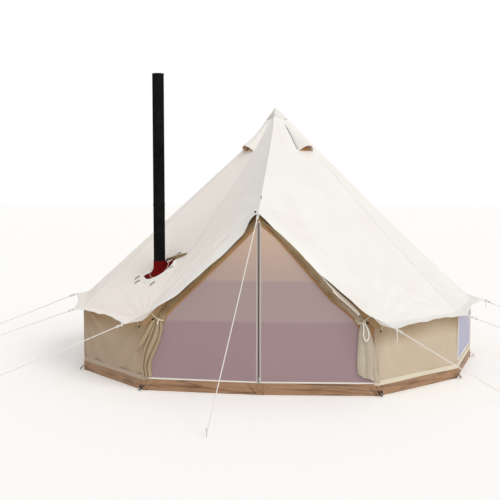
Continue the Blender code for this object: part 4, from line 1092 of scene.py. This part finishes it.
# Doorway: mesh leaves on their hinges, zip, rolled canvas leaves, curtains and ties
door = {"gap": 0.0006, "bottom": 0.1003, "top": 1.46, "side": 0.56, "cloth": 0.001, "back": 0.0003,
        "depth": 0.058, "clothGap": 0.0005, "rollBand": 0.028, "jambGap": 0.0008,
        "belly": 0.004, "border": 0.0006, "hem": (0.012, 0.0010),
        "tape": (0.0078, 0.0215), "tapeCloth": 0.0012, "toothPitch": 0.005, "toothHalf": (0.0033, 0.0015, 0.0012)}
door["span"] = np.linalg.norm(wallCorner(1) - wallCorner(0))
door["width"] = door["span"] - walls["jamb"] - door["jambGap"]
rolls = {"front": 72, "back": 12, "wraps": 3.0, "wrapDepth": 0.16, "pleats": {"left": 2.6, "right": 2.3},
         "pleatDepth": {"left": 0.62, "right": 0.40}, "steps": 14, "lip": (2.2, 6.75, 0.62), "lipOut": 0.0024,
         "lipCloth": 0.0012, "wingHalf": ((0, 0.15, 0.5, 0.8, 1), (0.003, 0.012, 0.017, 0.014, 0.004)),
         "wingFlat": 0.40}
# Sections down each rolled leaf: inner edge (share across, height share), outer edge, and depth
leafShares = {
    "left": ((0.018, 0.975, 0.026, 0.985, 0.12), (0.140, 0.887, 0.150, 0.899, 0.20),
             (0.290, 0.786, 0.308, 0.812, 0.40), (0.440, 0.688, 0.470, 0.722, 0.66),
             (0.590, 0.588, 0.628, 0.632, 0.78), (0.715, 0.508, 0.755, 0.545, 0.66),
             (0.785, 0.458, 0.822, 0.488, 0.52), (0.802, 0.426, 0.858, 0.452, 0.46),
             (0.826, 0.408, 0.893, 0.408, 0.55), (0.820, 0.366, 0.925, 0.366, 0.75),
             (0.840, 0.310, 0.958, 0.310, 0.84), (0.872, 0.250, 0.990, 0.250, 0.84),
             (0.909, 0.190, 1.001, 0.190, 0.76), (0.927, 0.140, 1.004, 0.140, 0.66),
             (0.915, 0.084, 0.996, 0.084, 0.60)),
    "right": ((0.018, 0.984, 0.030, 0.996, 0.16), (0.140, 0.916, 0.158, 0.934, 0.28),
              (0.290, 0.802, 0.322, 0.828, 0.46), (0.440, 0.684, 0.478, 0.716, 0.62),
              (0.590, 0.566, 0.630, 0.613, 0.74), (0.715, 0.494, 0.755, 0.534, 0.66),
              (0.785, 0.452, 0.822, 0.487, 0.52), (0.802, 0.426, 0.858, 0.452, 0.46),
              (0.838, 0.408, 0.902, 0.408, 0.50), (0.828, 0.366, 0.927, 0.366, 0.64),
              (0.821, 0.310, 0.950, 0.310, 0.66), (0.817, 0.250, 0.966, 0.250, 0.62),
              (0.815, 0.190, 0.977, 0.190, 0.58), (0.817, 0.152, 0.987, 0.136, 0.54),
              (0.828, 0.122, 1.014, 0.078, 0.48)),
}
wingSpots = ((0.880, 0.424, 0.030), (0.912, 0.396, 0.040), (0.949, 0.346, 0.044), (0.998, 0.289, 0.040),
             (1.050, 0.246, 0.010), (1.088, 0.219, -0.030))
tieEnd = ((0.860, 0.425, 0.040), (0.868, 0.395, 0.048), (0.868, 0.350, 0.050), (0.889, 0.322, 0.051),
          (0.912, 0.350, 0.050), (0.900, 0.390, 0.048), (0.872, 0.425, 0.040))
leftTieEnd = ((0, 0, 0), (-0.006, -0.006, -0.02), (-0.012, -0.004, -0.040))
tieStrap = ((0.862, 0.432, 0.034), (0.895, 0.445, 0.026), (0.925, 0.462, 0.004))
tieToggle = ((0.893, 0.418, 0.020), (0.911, 0.424, 0.018))


def doorAxis(side):
    # The level way from the doorway's front corner to its side
    return unit(wallCorner(side) - wallCorner(0))


def doorPoint(side, s, z, lift):
    # s along the door from the front corner, z up, lift out towards -Y
    s, z, lift = (k[..., None] for k in np.broadcast_arrays(s, z, lift))
    return wallCorner(0) + s * doorAxis(side) + z * upward + lift * forward


def doorSpots(side, spots, steps=None):
    # The place of each row (s, share of the height, lift), rounded off where steps are given
    s, z, lift = np.array(spots).T
    path = doorPoint(side, s, z * door["top"], lift)
    return smoothPath(path, steps) if steps else path


def leafTop(s):
    # The leaf's slanted top edge at s
    return door["top"] + (door["side"] - door["top"]) * (s - door["gap"]) / (door["width"] - door["gap"])


def makeMeshDoors():
    # Each leaf: s = gap + u wide, z from the bottom to the slanted top, and a slight belly inwards
    wide = door["width"] - door["gap"]
    high, low = door["top"] - door["bottom"], door["side"] - door["bottom"]
    for name, side in sides.items():
        body = f"mesh_door_{name}"
        u, v = np.linspace(0, 1, 41), np.linspace(1, 0, 49)[:, None]
        s = door["gap"] + u * wide
        edge = np.clip(4 * u * (1 - u), 0, 1) * np.clip(4 * v * (1 - v), 0, 1)
        wave = -door["belly"] * edge * (0.6 + 0.4 * np.sin(6 * u + 5 * v + side))
        p = doorPoint(side, s, door["bottom"] + v * (leafTop(s) - door["bottom"]), wave - door["back"])
        cloth(body + "_net", p, forward, door["cloth"], "doorNet", (wide, high),
              f"wall_{name}_front", area=round(wide * (high + low) / 2, 3), stands=[body], body=body)
        # The border's dark orange is painted shade and glow of light through the canvas
        inner = np.array(leafShares[name][:8])[:, :2] * (1, door["top"])
        s, v = np.linspace(door["gap"] + 0.02, door["width"] - 0.004, 60), np.linspace(0, 1, 6)[:, None]
        past = inner[-1, 1] - (s - inner[-1, 0]) * 1.2
        foot = np.where(s > inner[-1, 0], past, np.interp(s, *inner.T)) - door["rollBand"]
        border = doorPoint(side, s, leafTop(s) * (1 - v) + np.minimum(foot, leafTop(s) - 0.02) * v, 0.0002)
        s, v = np.linspace(door["gap"], door["width"], 60), np.linspace(1, 0, 5)[:, None]
        hem = doorPoint(side, s, door["bottom"] + v * door["hem"][0], 0.0004 + 0.0008 * np.sin(np.pi * v))
        tape = doorPoint(side, np.linspace(*door["tape"], 5),
                         np.linspace(door["top"] - 0.02, door["bottom"], 90)[:, None], 0.0009)
        for kind, p, thick, look in (("mesh_border", border, door["border"], "tan"),
                                     ("mesh_hem", hem, door["hem"][1], "web"),
                                     ("zip_tape", tape, door["tapeCloth"], "tape")):
            slab(f"{kind}_{name}", p, forward, thick, look, slot="door_mesh", body=body)
        # Zip teeth: small blocks 3 mm long, 5 mm apart, that alternate with the other side's
        pitch, half = door["toothPitch"], np.array(door["toothHalf"])
        z = np.arange(door["bottom"] + 0.003 + (pitch / 2 if side < 0 else 0), door["top"] - 0.022, pitch)[:, None]
        x, y, out = (boxSigns * half).T
        points = doorPoint(side, door["gap"] + half[0] + x, z + y, 0.0006 + out)
        faces = (boxFaces + (np.arange(len(z)) * 8)[:, None, None]).reshape(-1, 4)
        putMesh(f"zip_teeth_{name}", points.reshape(-1, 3), [faces], "teeth", body=body)


def makeCanvasLeaves():
    # Sections of the rolled leaf and its hanging end; across each, x runs from the inner to the outer edge.
    # Depth: sin(pi x)^0.55, with wraps that wind along the roll, and pleats that open below the tie
    x = np.linspace(0, 1, rolls["front"])
    for name, side in sides.items():
        table = np.array(leafShares[name])
        rows = smoothPath(table, rolls["steps"])[..., None]
        along = np.arange(len(rows))[:, None] / rolls["steps"]
        hang, tied = smoothStep(7.0, 8.6, along), np.exp(-((along - 7.25) / 0.45) ** 2)
        wrap = np.cos(2 * np.pi * (rolls["wraps"] * x + 0.16 * along))
        ridge = np.abs(np.cos(2 * np.pi * (rolls["wraps"] * x * 0.5 + 0.10 * along + 0.2))) ** 0.5
        count = rolls["pleats"][name]
        drift = 0.16 * np.sin(0.9 * along + side) + 0.10 * np.sin(5.0 * x + 0.7 * along)
        pleat = np.abs(np.sin(np.pi * (count * x + drift + 0.15)))
        gather = np.abs(np.sin(np.pi * (count * 1.6 * x + 0.3)))
        shape = (1 - hang) * (1 - rolls["wrapDepth"] * (0.5 - 0.5 * wrap) - 0.08 * ridge) \
            + hang * (1 - rolls["pleatDepth"][name] * (1 - pleat ** 0.8)) - 0.14 * tied * gather
        bulge = np.clip(np.sin(np.pi * x), 0, 1) ** (0.55 - 0.2 * hang)
        depth = rows[:, 4] * door["depth"] * (0.10 + 0.90 * bulge) * shape
        wavy = 0.004 * np.sin(2 * np.pi * count * x + 1) * smoothStep(11.0, 14.0, along)
        front, back = (doorPoint(side, rows[:, 0] * (1 - k) + rows[:, 2] * k,
                                 (rows[:, 1] * (1 - k) + rows[:, 3] * k) * door["top"] + wave, door["clothGap"] + lift)
                       for k, wave, lift in ((x, wavy, depth), (np.linspace(1, 0, rolls["back"]), 0, 0)))
        ringSurface(f"door_leaf_{name}_cloth", np.concatenate([front, back], 1), "leaf",
                    stands=[f"door_leaf_{name}"])
        if name == "right":
            first, last = (int(k * rolls["steps"]) for k in rolls["lip"][:2])
            # Painted light: a pale lip along the roll's outer edge stands for its lit strip
            p = front[first:last, round(rolls["lip"][2] * rolls["front"]):] + forward * rolls["lipOut"]
            p[:, -1] += (0, 0.0014, 0.0006)
            t = np.linspace(0, 1, len(p))[:, None, None]
            p = p[:, -1:] + (p - p[:, -1:]) * (0.06 + 0.94 * smoothStep(-0.1, 0.5, t) * smoothStep(1.0, 0.92, t))
            slab("door_leaf_right_lip", p, forward, rolls["lipCloth"], "lip")
        else:
            makeWing(side)
        makeTie(name, side, table[7:9].mean(0))


def makeWing(side):
    # A fold of the left curtain that hangs out over the wall beside the doorway
    path = doorSpots(side, smoothPath(wingSpots, 10))
    half = np.interp(np.linspace(0, 1, len(path)), *rolls["wingHalf"])
    across = unit(np.cross(unit(np.gradient(path, axis=0)), forward))
    outline = circle(1.0, 18) * half[:, None, None] * (1, rolls["wingFlat"])
    sweep("door_leaf_left_wing", path, across, forward, outline, "leaf")


tie = {"around": 1.16, "gap": 0.002, "over": 0.006, "web": (0.010, 0.0022), "knot": (0.007, 0.005, 0.006),
       "knotTurns": 2.6, "knotCord": 0.0030, "facing": (0, -1, 0.1), "toggle": 0.006, "tail": 0.0018,
       "tailWide": {"right": 0.010, "left": 0.008}, "strapWide": 0.007}


def makeTie(name, side, row):
    # Webbing round the gathered leaf with a knot, its loose end, a strap to the jamb and a toggle
    inner, outer = (row[k:k + 2] * (1, door["top"]) for k in (0, 2))
    a = np.linspace(0, np.pi, 25)
    s, z = ((inner + outer) / 2 - np.cos(a)[:, None] * (outer - inner) / 2 * tie["around"]).T
    path = doorPoint(side, s, z, door["clothGap"] + tie["gap"] + np.sin(a) * (row[4] * door["depth"] + tie["over"]))
    up = unit(np.cross(unit(np.gradient(path, axis=0)), upward))
    strap(f"door_tie_{name}", path, *tie["web"], "tie", up)
    knot, a, (x, y, z) = path[13], np.linspace(0, tie["knotTurns"] * 2 * np.pi, 60), tie["knot"]
    blob = knot + np.stack([x * np.cos(a), -0.004 + y * np.sin(a * 1.5), z * np.sin(a)], -1)
    tube(f"door_tie_knot_{name}", blob, tie["knotCord"], "tie", sides=8)
    tail = doorSpots(side, tieEnd, 8) if side > 0 else smoothPath(knot + np.array(leftTieEnd), 8)
    for kind, path, wide, look in (("end", tail, tie["tailWide"][name], "lip"),
                                   ("strap", doorSpots(side, tieStrap, 8), tie["strapWide"], "tie")):
        strap(f"door_tie_{kind}_{name}", path, wide, tie["tail"], look, tie["facing"])
    tube(f"door_tie_toggle_{name}", doorSpots(side, tieToggle, 4), tie["toggle"], "darkWeb")


strips = {"short": 0.004, "up": 0.003, "back": 0.0008, "under": 0.0015, "belly": 0.004, "cloth": 0.0014}


def makeDoorStrips():
    # The fixed canvas between the top of each mesh leaf and the roof's knee, just outside the door pole. Its dark
    # orange-brown is painted shade and glow of light through the canvas
    u, v = np.linspace(0, 1, 50), np.linspace(1, 0, 10)[:, None]
    for name, side in sides.items():
        s = door["gap"] + u * (door["span"] - strips["short"])
        top = np.maximum(leafTop(np.minimum(s, door["width"])), door["side"])
        low = doorPoint(side, s, top + strips["up"], -strips["back"])
        first = 0 if side > 0 else -1
        high, n = roofAt(first, u if side > 0 else 1 - u, 1.0)
        high = high - n * (tent["canvas"] + strips["under"])
        p = low * (1 - v[..., None]) + high * v[..., None]
        out = unit(np.cross(np.gradient(p, axis=1), np.gradient(p, axis=0)))
        out = out * np.sign(-out[..., 1:2])
        p = p + out * (strips["belly"] * np.sin(np.pi * v) * np.sin(9 * u))[..., None]
        cloth(f"door_strip_{name}", p, out, strips["cloth"], "inner", (1.38, 0.195), goreName(first), area=0.165)


makeWalls()
makeRim()
print("walls and groundsheet")
makeMeshDoors()
makeDoorStrips()
makeCanvasLeaves()
print("doorway")


# Stove jack: a red patch with a collar round the pipe, on the plane of its gore
jack = {"turn": 0.806, "gore": -1.5, "pipeTurn": -1.3025, "setback": 0.474, "pipe": 0.052, "gap": 0.0005,
        "wall": 0.003, "collar": 0.075, "long": 0.35, "wide": 0.27, "slotLong": 0.25, "slotWide": 0.19,
        "slotDeep": 0.05, "flapLong": 0.38, "flapWide": 0.15, "offset": 0.085, "level": 0.0003, "over": 0.0078,
        "loopWeb": (0.010, 0.0024), "loopLift": (0.0035, 0.005), "rimCloth": 0.0018, "rimHem": (0.010, 0.0042),
        "coverCloth": 0.002, "rollSize": (0.003, 0.0075), "rollUp": 0.012, "flapUp": 0.0036, "flapWave": 0.0022,
        "flapHem": (0.012, 0.0046), "pipingUp": 0.0056, "pipingSize": 0.0034,
        "piping": (0.104, 0.117), "coverOuter": (0.19, 0.15), "coverInner": 0.084, "rimInner": (0.166, 0.114),
        "rimOuter": (0.196, 0.158), "roll": ((0.088, 0.070), (0.15, 0.040), (0.235, 0.004), (0.305, -0.020)),
        "loops": (((-0.279, 0.057), (-0.223, 0.071)), ((-0.274, -0.012), (-0.219, -0.002)),
                  ((-0.098, -0.187), (-0.044, -0.172)), ((0.106, -0.101), (0.150, -0.088)),
                  ((0.196, 0.072), (0.240, 0.060)))}
jackRings = ((1.0, 0.0003), (1.0, 0.0020), (0.985, 0.0034), (0.95, 0.0036), (0.93, 0.0028), (0.90, 0.0034),
             (0.7, 0.0040), (0.5, 0.0050), (0.3, 0.0064), (0.15, 0.0082))
pipe = {"joint": 1.55, "top": 2.74, "back": (0.7, 0.714, 0.0), "seam": (0.008, 0.0016),
        "bands": (("joint", 1.57, 0.022, 0.0024), ("top", 2.7365, 0.006, 0.004))}
pipeCentre = bearing(cornerTurn(jack["pipeTurn"]), tent["radius"] - jack["setback"], 0.0)


def jackFrame():
    # The pipe's place on the gore's plane, the patch's two axes turned by turn, and the way out
    turn = cornerTurn(jack["gore"])
    steep = np.arctan((tent["coneHeight"] - tent["wallTop"]) / tent["radius"] / np.cos(np.pi / tent["corners"]))
    across, up = np.array([np.cos(turn), np.sin(turn), 0.0]), bearing(turn, -np.cos(steep), np.sin(steep))
    foot = pipeCentre + upward * (tent["coneHeight"] - np.tan(steep) * (pipeCentre @ bearing(turn, 1.0, 0.0)))
    c, s = np.cos(jack["turn"]), np.sin(jack["turn"])
    return foot, across * c + up * s, up * c - across * s, np.cross(across, up)


jackCentre, jackAlong, jackOver, jackOut = jackFrame()


def jackPoint(x, y, lift):
    # centre + along x + over y + out lift
    x, y, lift = (k[..., None] for k in np.broadcast_arrays(x, y, lift))
    return jackCentre + jackAlong * x + jackOver * y + jackOut * lift


def oval(a, axes):
    # An ellipse's radius at angle a
    return 1 / np.hypot(np.cos(a) / axes[0], np.sin(a) / axes[1])


def makeJackPatch():
    # The gore's slot, the patch over it, its collar up to the pipe and down inside, and its piping
    x, y = circle(1, 48).T * np.array([[jack["slotLong"] / 2], [jack["slotWide"] / 2]])
    deep = jack["slotDeep"]
    ends = np.concatenate([jackPoint(0.0, 0.0, deep)[None], jackPoint(0.0, 0.0, -deep)[None]])
    points = np.concatenate([*(jackPoint(x, y, k) for k in (deep, -deep)), ends])
    cutAway(gores[-2], putMesh("hole", points, [gridQuads(2, 48, wrap=True), endFans(2, 48)], "jack"))
    a = turns(96)
    way, bore = jackPoint(np.cos(a), np.sin(a), 0.0) - jackCentre, jack["pipe"] + jack["gap"]
    level = unit(way * (1, 1, 0))
    edge, near = oval(a, (jack["long"] / 2, jack["wide"] / 2)), (bore + jack["wall"]) / np.hypot(way[:, 0], way[:, 1])
    rings = []
    for share, lift in jackRings:
        ripple = 0.0008 * np.cos(9 * a + 3 * share) * (share < 0.9)
        rings.append(jackCentre + way * (near + (edge - near) * share)[:, None]
                     + jackOut * (jack["level"] + lift + ripple)[:, None])
    foot = (jackCentre + way * near[:, None])[:, 2]
    outer = [(k, jack["wall"] * (1 - 0.15 * (k > 0.9)), 0.0009 * (k < 0.95)) for k in np.linspace(0.14, 1, 12)]
    for share, wall, ripple in outer + [(k, 0, 0) for k in (1.0, 0.75, 0.5, 0.25, 0.0)]:
        ring = jackCentre + level * (bore + wall + ripple * np.cos(7 * a + 5 * share))[:, None]
        ring[:, 2] = foot + (jackCentre[2] + jack["collar"] - foot) * share
        rings.append(ring)
    grid = np.stack(rings)
    down = np.linalg.norm(np.diff(grid, axis=0, prepend=grid[:1]), axis=-1).mean(1).cumsum()[:, None]
    patch = torusSurface("stove_jack_patch", grid, "jack", joined(a * 0.12, down),
                         stands=["stove_jack"])
    asSheet(patch)
    r = oval(a, jack["piping"])
    ring = jackPoint(r * np.cos(a), r * np.sin(a), jack["pipingUp"])
    sweep("stove_jack_piping", ring, unit(ring - jackCentre), jackOut, circle(jack["pipingSize"], 8), "jackThread",
          closed=True)


def makeJackTrim():
    # Short dark webbing loops on the roof round the patch, from one point of its plane to another
    t, (up, hump) = np.linspace(0, 1, 11), jack["loopLift"]
    for k, (first, last) in enumerate(np.array(jack["loops"])):
        x, y = first[:, None] * (1 - t) + last[:, None] * t
        strap(f"jack_loop_{k}", jackPoint(x, y, up + hump * np.sin(np.pi * t) ** 0.6), *jack["loopWeb"], "darkWeb",
              jackOut, slot="jack_cloth")
    # Canvas rim over the patch's lower edge, which slopes from the patch down to the roof
    a, r = np.linspace(np.radians(183), np.radians(357), 80), np.linspace(0, 1, 8)[:, None]
    radius = oval(a, jack["rimInner"]) * (1 - r) + oval(a, jack["rimOuter"]) * r
    lift = jack["over"] - 0.0052 * smoothStep(0.45, 0.95, r) + 0.0006 * np.sin(16 * a) * r
    p = jackPoint(radius * np.cos(a), radius * np.sin(a), lift)
    cloth("stove_jack_rim", p, jackOut, jack["rimCloth"], "trim", (0.42, 0.16), "stove_jack", held="laid", area=0.0212,
          slot="roof_canvas")
    edge = p[0] + jackOut * 0.0004
    sweep("stove_jack_rim_hem", edge, unit(jackCentre - edge), jackOut, strapOutline(*jack["rimHem"]), "trim",
          slot="roof_canvas")
    # Canvas over the patch's upper half, cut out round the collar, with its rolled end to the right
    a, r = np.linspace(np.radians(9), np.radians(171), 60), np.linspace(0, 1, 12)[:, None]
    far = np.minimum(oval(a, jack["coverOuter"]), (jack["offset"] - 0.005) / np.sin(a))
    near = np.minimum(jack["coverInner"], far - 0.003)
    radius = near + (far - near) * r
    x, y = radius * np.cos(a), radius * np.sin(a)
    lift = jack["over"] + 0.0008 * np.sin(14 * x + 3) - 0.0035 * smoothStep(0.15, 0.19, np.abs(x))
    cloth("stove_jack_cover", jackPoint(x, y, lift), jackOut, jack["coverCloth"], "roof", (0.38, 0.08), "stove_jack",
          held="laid", area=0.0125)
    spot, (least, more) = jackPoint(*smoothPath(jack["roll"], 8).T, jack["rollUp"]), jack["rollSize"]
    _, side, up = pathFrame(spot, jackOut)
    size = least + more * np.sin(np.linspace(0.25, np.pi - 0.1, len(spot))) ** 0.7
    sweep("jack_cover_roll", spot, side, up, circle(1.0, 14) * size[:, None, None] * (1.5, 1.0), "leaf",
          slot="roof_canvas")


def makeRainFlap():
    # A half-oval flap behind the pipe, hinged on its straight edge, with a rolled rim
    long, wide, thick = jack["flapLong"], jack["flapWide"], tent["canvas"]
    a, r = np.linspace(0, np.pi, 49), np.linspace(0.02, 1, 15)[:, None]
    lift = jack["flapUp"] + 2 * jack["level"] + thick + jack["flapWave"] * np.sin(5 * a + 2 * r) * r * np.sin(a)
    p = jackPoint(np.cos(a) * long / 2 * r, np.sin(a) * wide * r + jack["offset"], lift)
    cloth("jack_rain_flap_cloth", p, jackOut, thick, "roof", (long, wide), "stove_jack", held="laid",
          area=round(np.pi / 4 * long * wide, 4), stands=["jack_rain_flap"], body="rain_flap")
    outward = np.cross(unit(np.gradient(p[-1], axis=0)), jackOut)
    rim = p[-1] + outward * 0.0005 - jackOut * 0.001
    sweep("jack_flap_hem", rim, outward, jackOut, strapOutline(*jack["flapHem"]), "trim",
          slot="roof_canvas", body="rain_flap")


def makePipeTrim():
    # A lock seam up the pipe's back, a band at the joint and a rolled rim
    a, back = turns(64), np.array(pipe["back"])
    level = np.stack([np.cos(a), np.sin(a), 0 * a], -1)
    for name, z, wide, thick in pipe["bands"]:
        ring = pipeCentre + level * (jack["pipe"] + 0.0004) + (0, 0, z)
        sweep(f"pipe_band_{name}", ring, upward, level, strapOutline(wide, thick), "pipe", closed=True)
    z = np.linspace(pipe["joint"] + 0.04, pipe["top"] - 0.01, 60)[:, None]
    strap("pipe_seam", pipeCentre + back * (jack["pipe"] + 0.0002) + z * upward, *pipe["seam"], "pipe", back)


makeJackPatch()
makeJackTrim()
makeRainFlap()
makePipeTrim()
print("jack and pipe")


# Small parts at the eaves and the ground
knots = {"up": 0.012, "tabEnd": 0.085, "tabStart": 0.008, "tab": (0.022, 0.0092), "apart": 0.004, "radius": 0.0042,
         "loops": ((0.5, 0.0095), (-0.6, 0.0105))}
bases = {"start": 0.010, "reach": 0.030, "half": 0.014, "top": 0.045, "drop": 0.036, "web": (0.014, 0.0022),
         "pinOut": 0.037, "shaft": 0.020, "bend": 0.022, "hook": 0.005, "pin": 0.0024}
toggles = {"shares": {"right": 0.012, "left": 0.045}, "web": (0.008, 0.002), "radius": 0.006,
           "loop": ((0.005, 0.006, 0.592), (0.012, 0.002, 0.578), (0.014, -0.004, 0.560), (0.014, -0.010, 0.546)),
           "ends": ((-0.006, 0, 0.002), (0.006, 0, -0.006))}


def makeKnots():
    # Two crossed loops of rope at each guy rope's start, and the long tab of one
    a = turns(60)[:, None]
    for name, route in ropes["routes"].items():
        start = np.array(route[0])
        way = unit(np.array(route[1]) - start)
        spot = start + way * knots["tabEnd" if name == "right_2" else "up"]
        level = unit(np.cross(way, upward))
        up = np.cross(level, way)
        for k, (tilt, size) in enumerate(knots["loops"]):
            leaning = up * np.cos(tilt) + way * np.sin(tilt)
            path = spot + (np.cos(a) * level + np.sin(a) * leaning) * size + way * knots["apart"] * (k - 0.5)
            tangent, side = unit(np.roll(path, -1, 0) - np.roll(path, 1, 0)), unit(path - spot)
            sweep(f"eave_knot_{name}_{k}", path, side, np.cross(tangent, side), circle(knots["radius"], 8), "rope",
                  closed=True)
        if name == "right_2":
            strap("eave_long_tab", np.linspace(start - way * knots["tabStart"], spot, 10), *knots["tab"], "trim", up)


def makeBaseLoops():
    # At each wall corner a webbing loop at the ground, held by a small steel pin
    t, a = np.linspace(0, np.pi, 15)[:, None], np.linspace(0, np.pi, 9)[:, None]
    for index in range(1, 12):
        corner = wallCorner(index)
        out = unit(corner)
        level = np.cross(upward, out)
        path = corner + out * (bases["start"] + bases["reach"] * np.sin(t)) + level * bases["half"] * np.cos(t) \
            + upward * (bases["top"] - bases["drop"] * np.sin(t))
        strap(f"base_loop_{index}", path, *bases["web"], "darkWeb" if index in (1, 11) else "brownWeb",
              out * 0.4 + upward)
        foot = corner + out * bases["pinOut"]
        head = foot + upward * bases["bend"] + bases["hook"] * (out * (1 - np.cos(a)) + upward * np.sin(a))
        shaft = np.linspace(foot, foot + upward * bases["shaft"], 4)
        tube(f"base_pin_{index}", np.concatenate([shaft, head]), bases["pin"], "peg", sides=8, guide=level)


def makeToggles():
    # A webbing loop under the eave on each front wall, with a dark toggle at its end
    for name, side in sides.items():
        share = toggles["shares"][name]
        first, last = wallCorner(side), wallCorner(2 * side)
        spot, out = first * (1 - share) + last * share, outwards(first, last)
        path = smoothPath([spot + out * away + (x * side, 0, z) for away, x, z in toggles["loop"]], 6)
        strap(f"toggle_loop_{name}", path, *toggles["web"], "tie", out)
        tube(f"toggle_{name}", smoothPath(path[-1] + np.array(toggles["ends"]), 4), toggles["radius"], "darkWeb")


makeKnots()
makeBaseLoops()
makeToggles()
print("small parts")

# Looks of the frame's own nodes that stay
nodeLooks = {"steel": ("centre_pole_lower", "centre_pole_upper", "door_pole_left", "door_pole_right",
                       "door_pole_apex"),
             "rubber": ("pole_foot",), "zip": ("door_zip_slider",), "floorVinyl": ("groundsheet_floor",),
             "stove": ("stove_body", "stove_door", "pipe_damper"), "pipe": ("stove_pipe_lower", "stove_pipe_upper")}
for look, names in nodeLooks.items():
    for name in names:
        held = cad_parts[name].data.materials
        held.clear()
        held.append(looks[look])
print("kept nodes:", sum(len(names) for names in nodeLooks.values()))
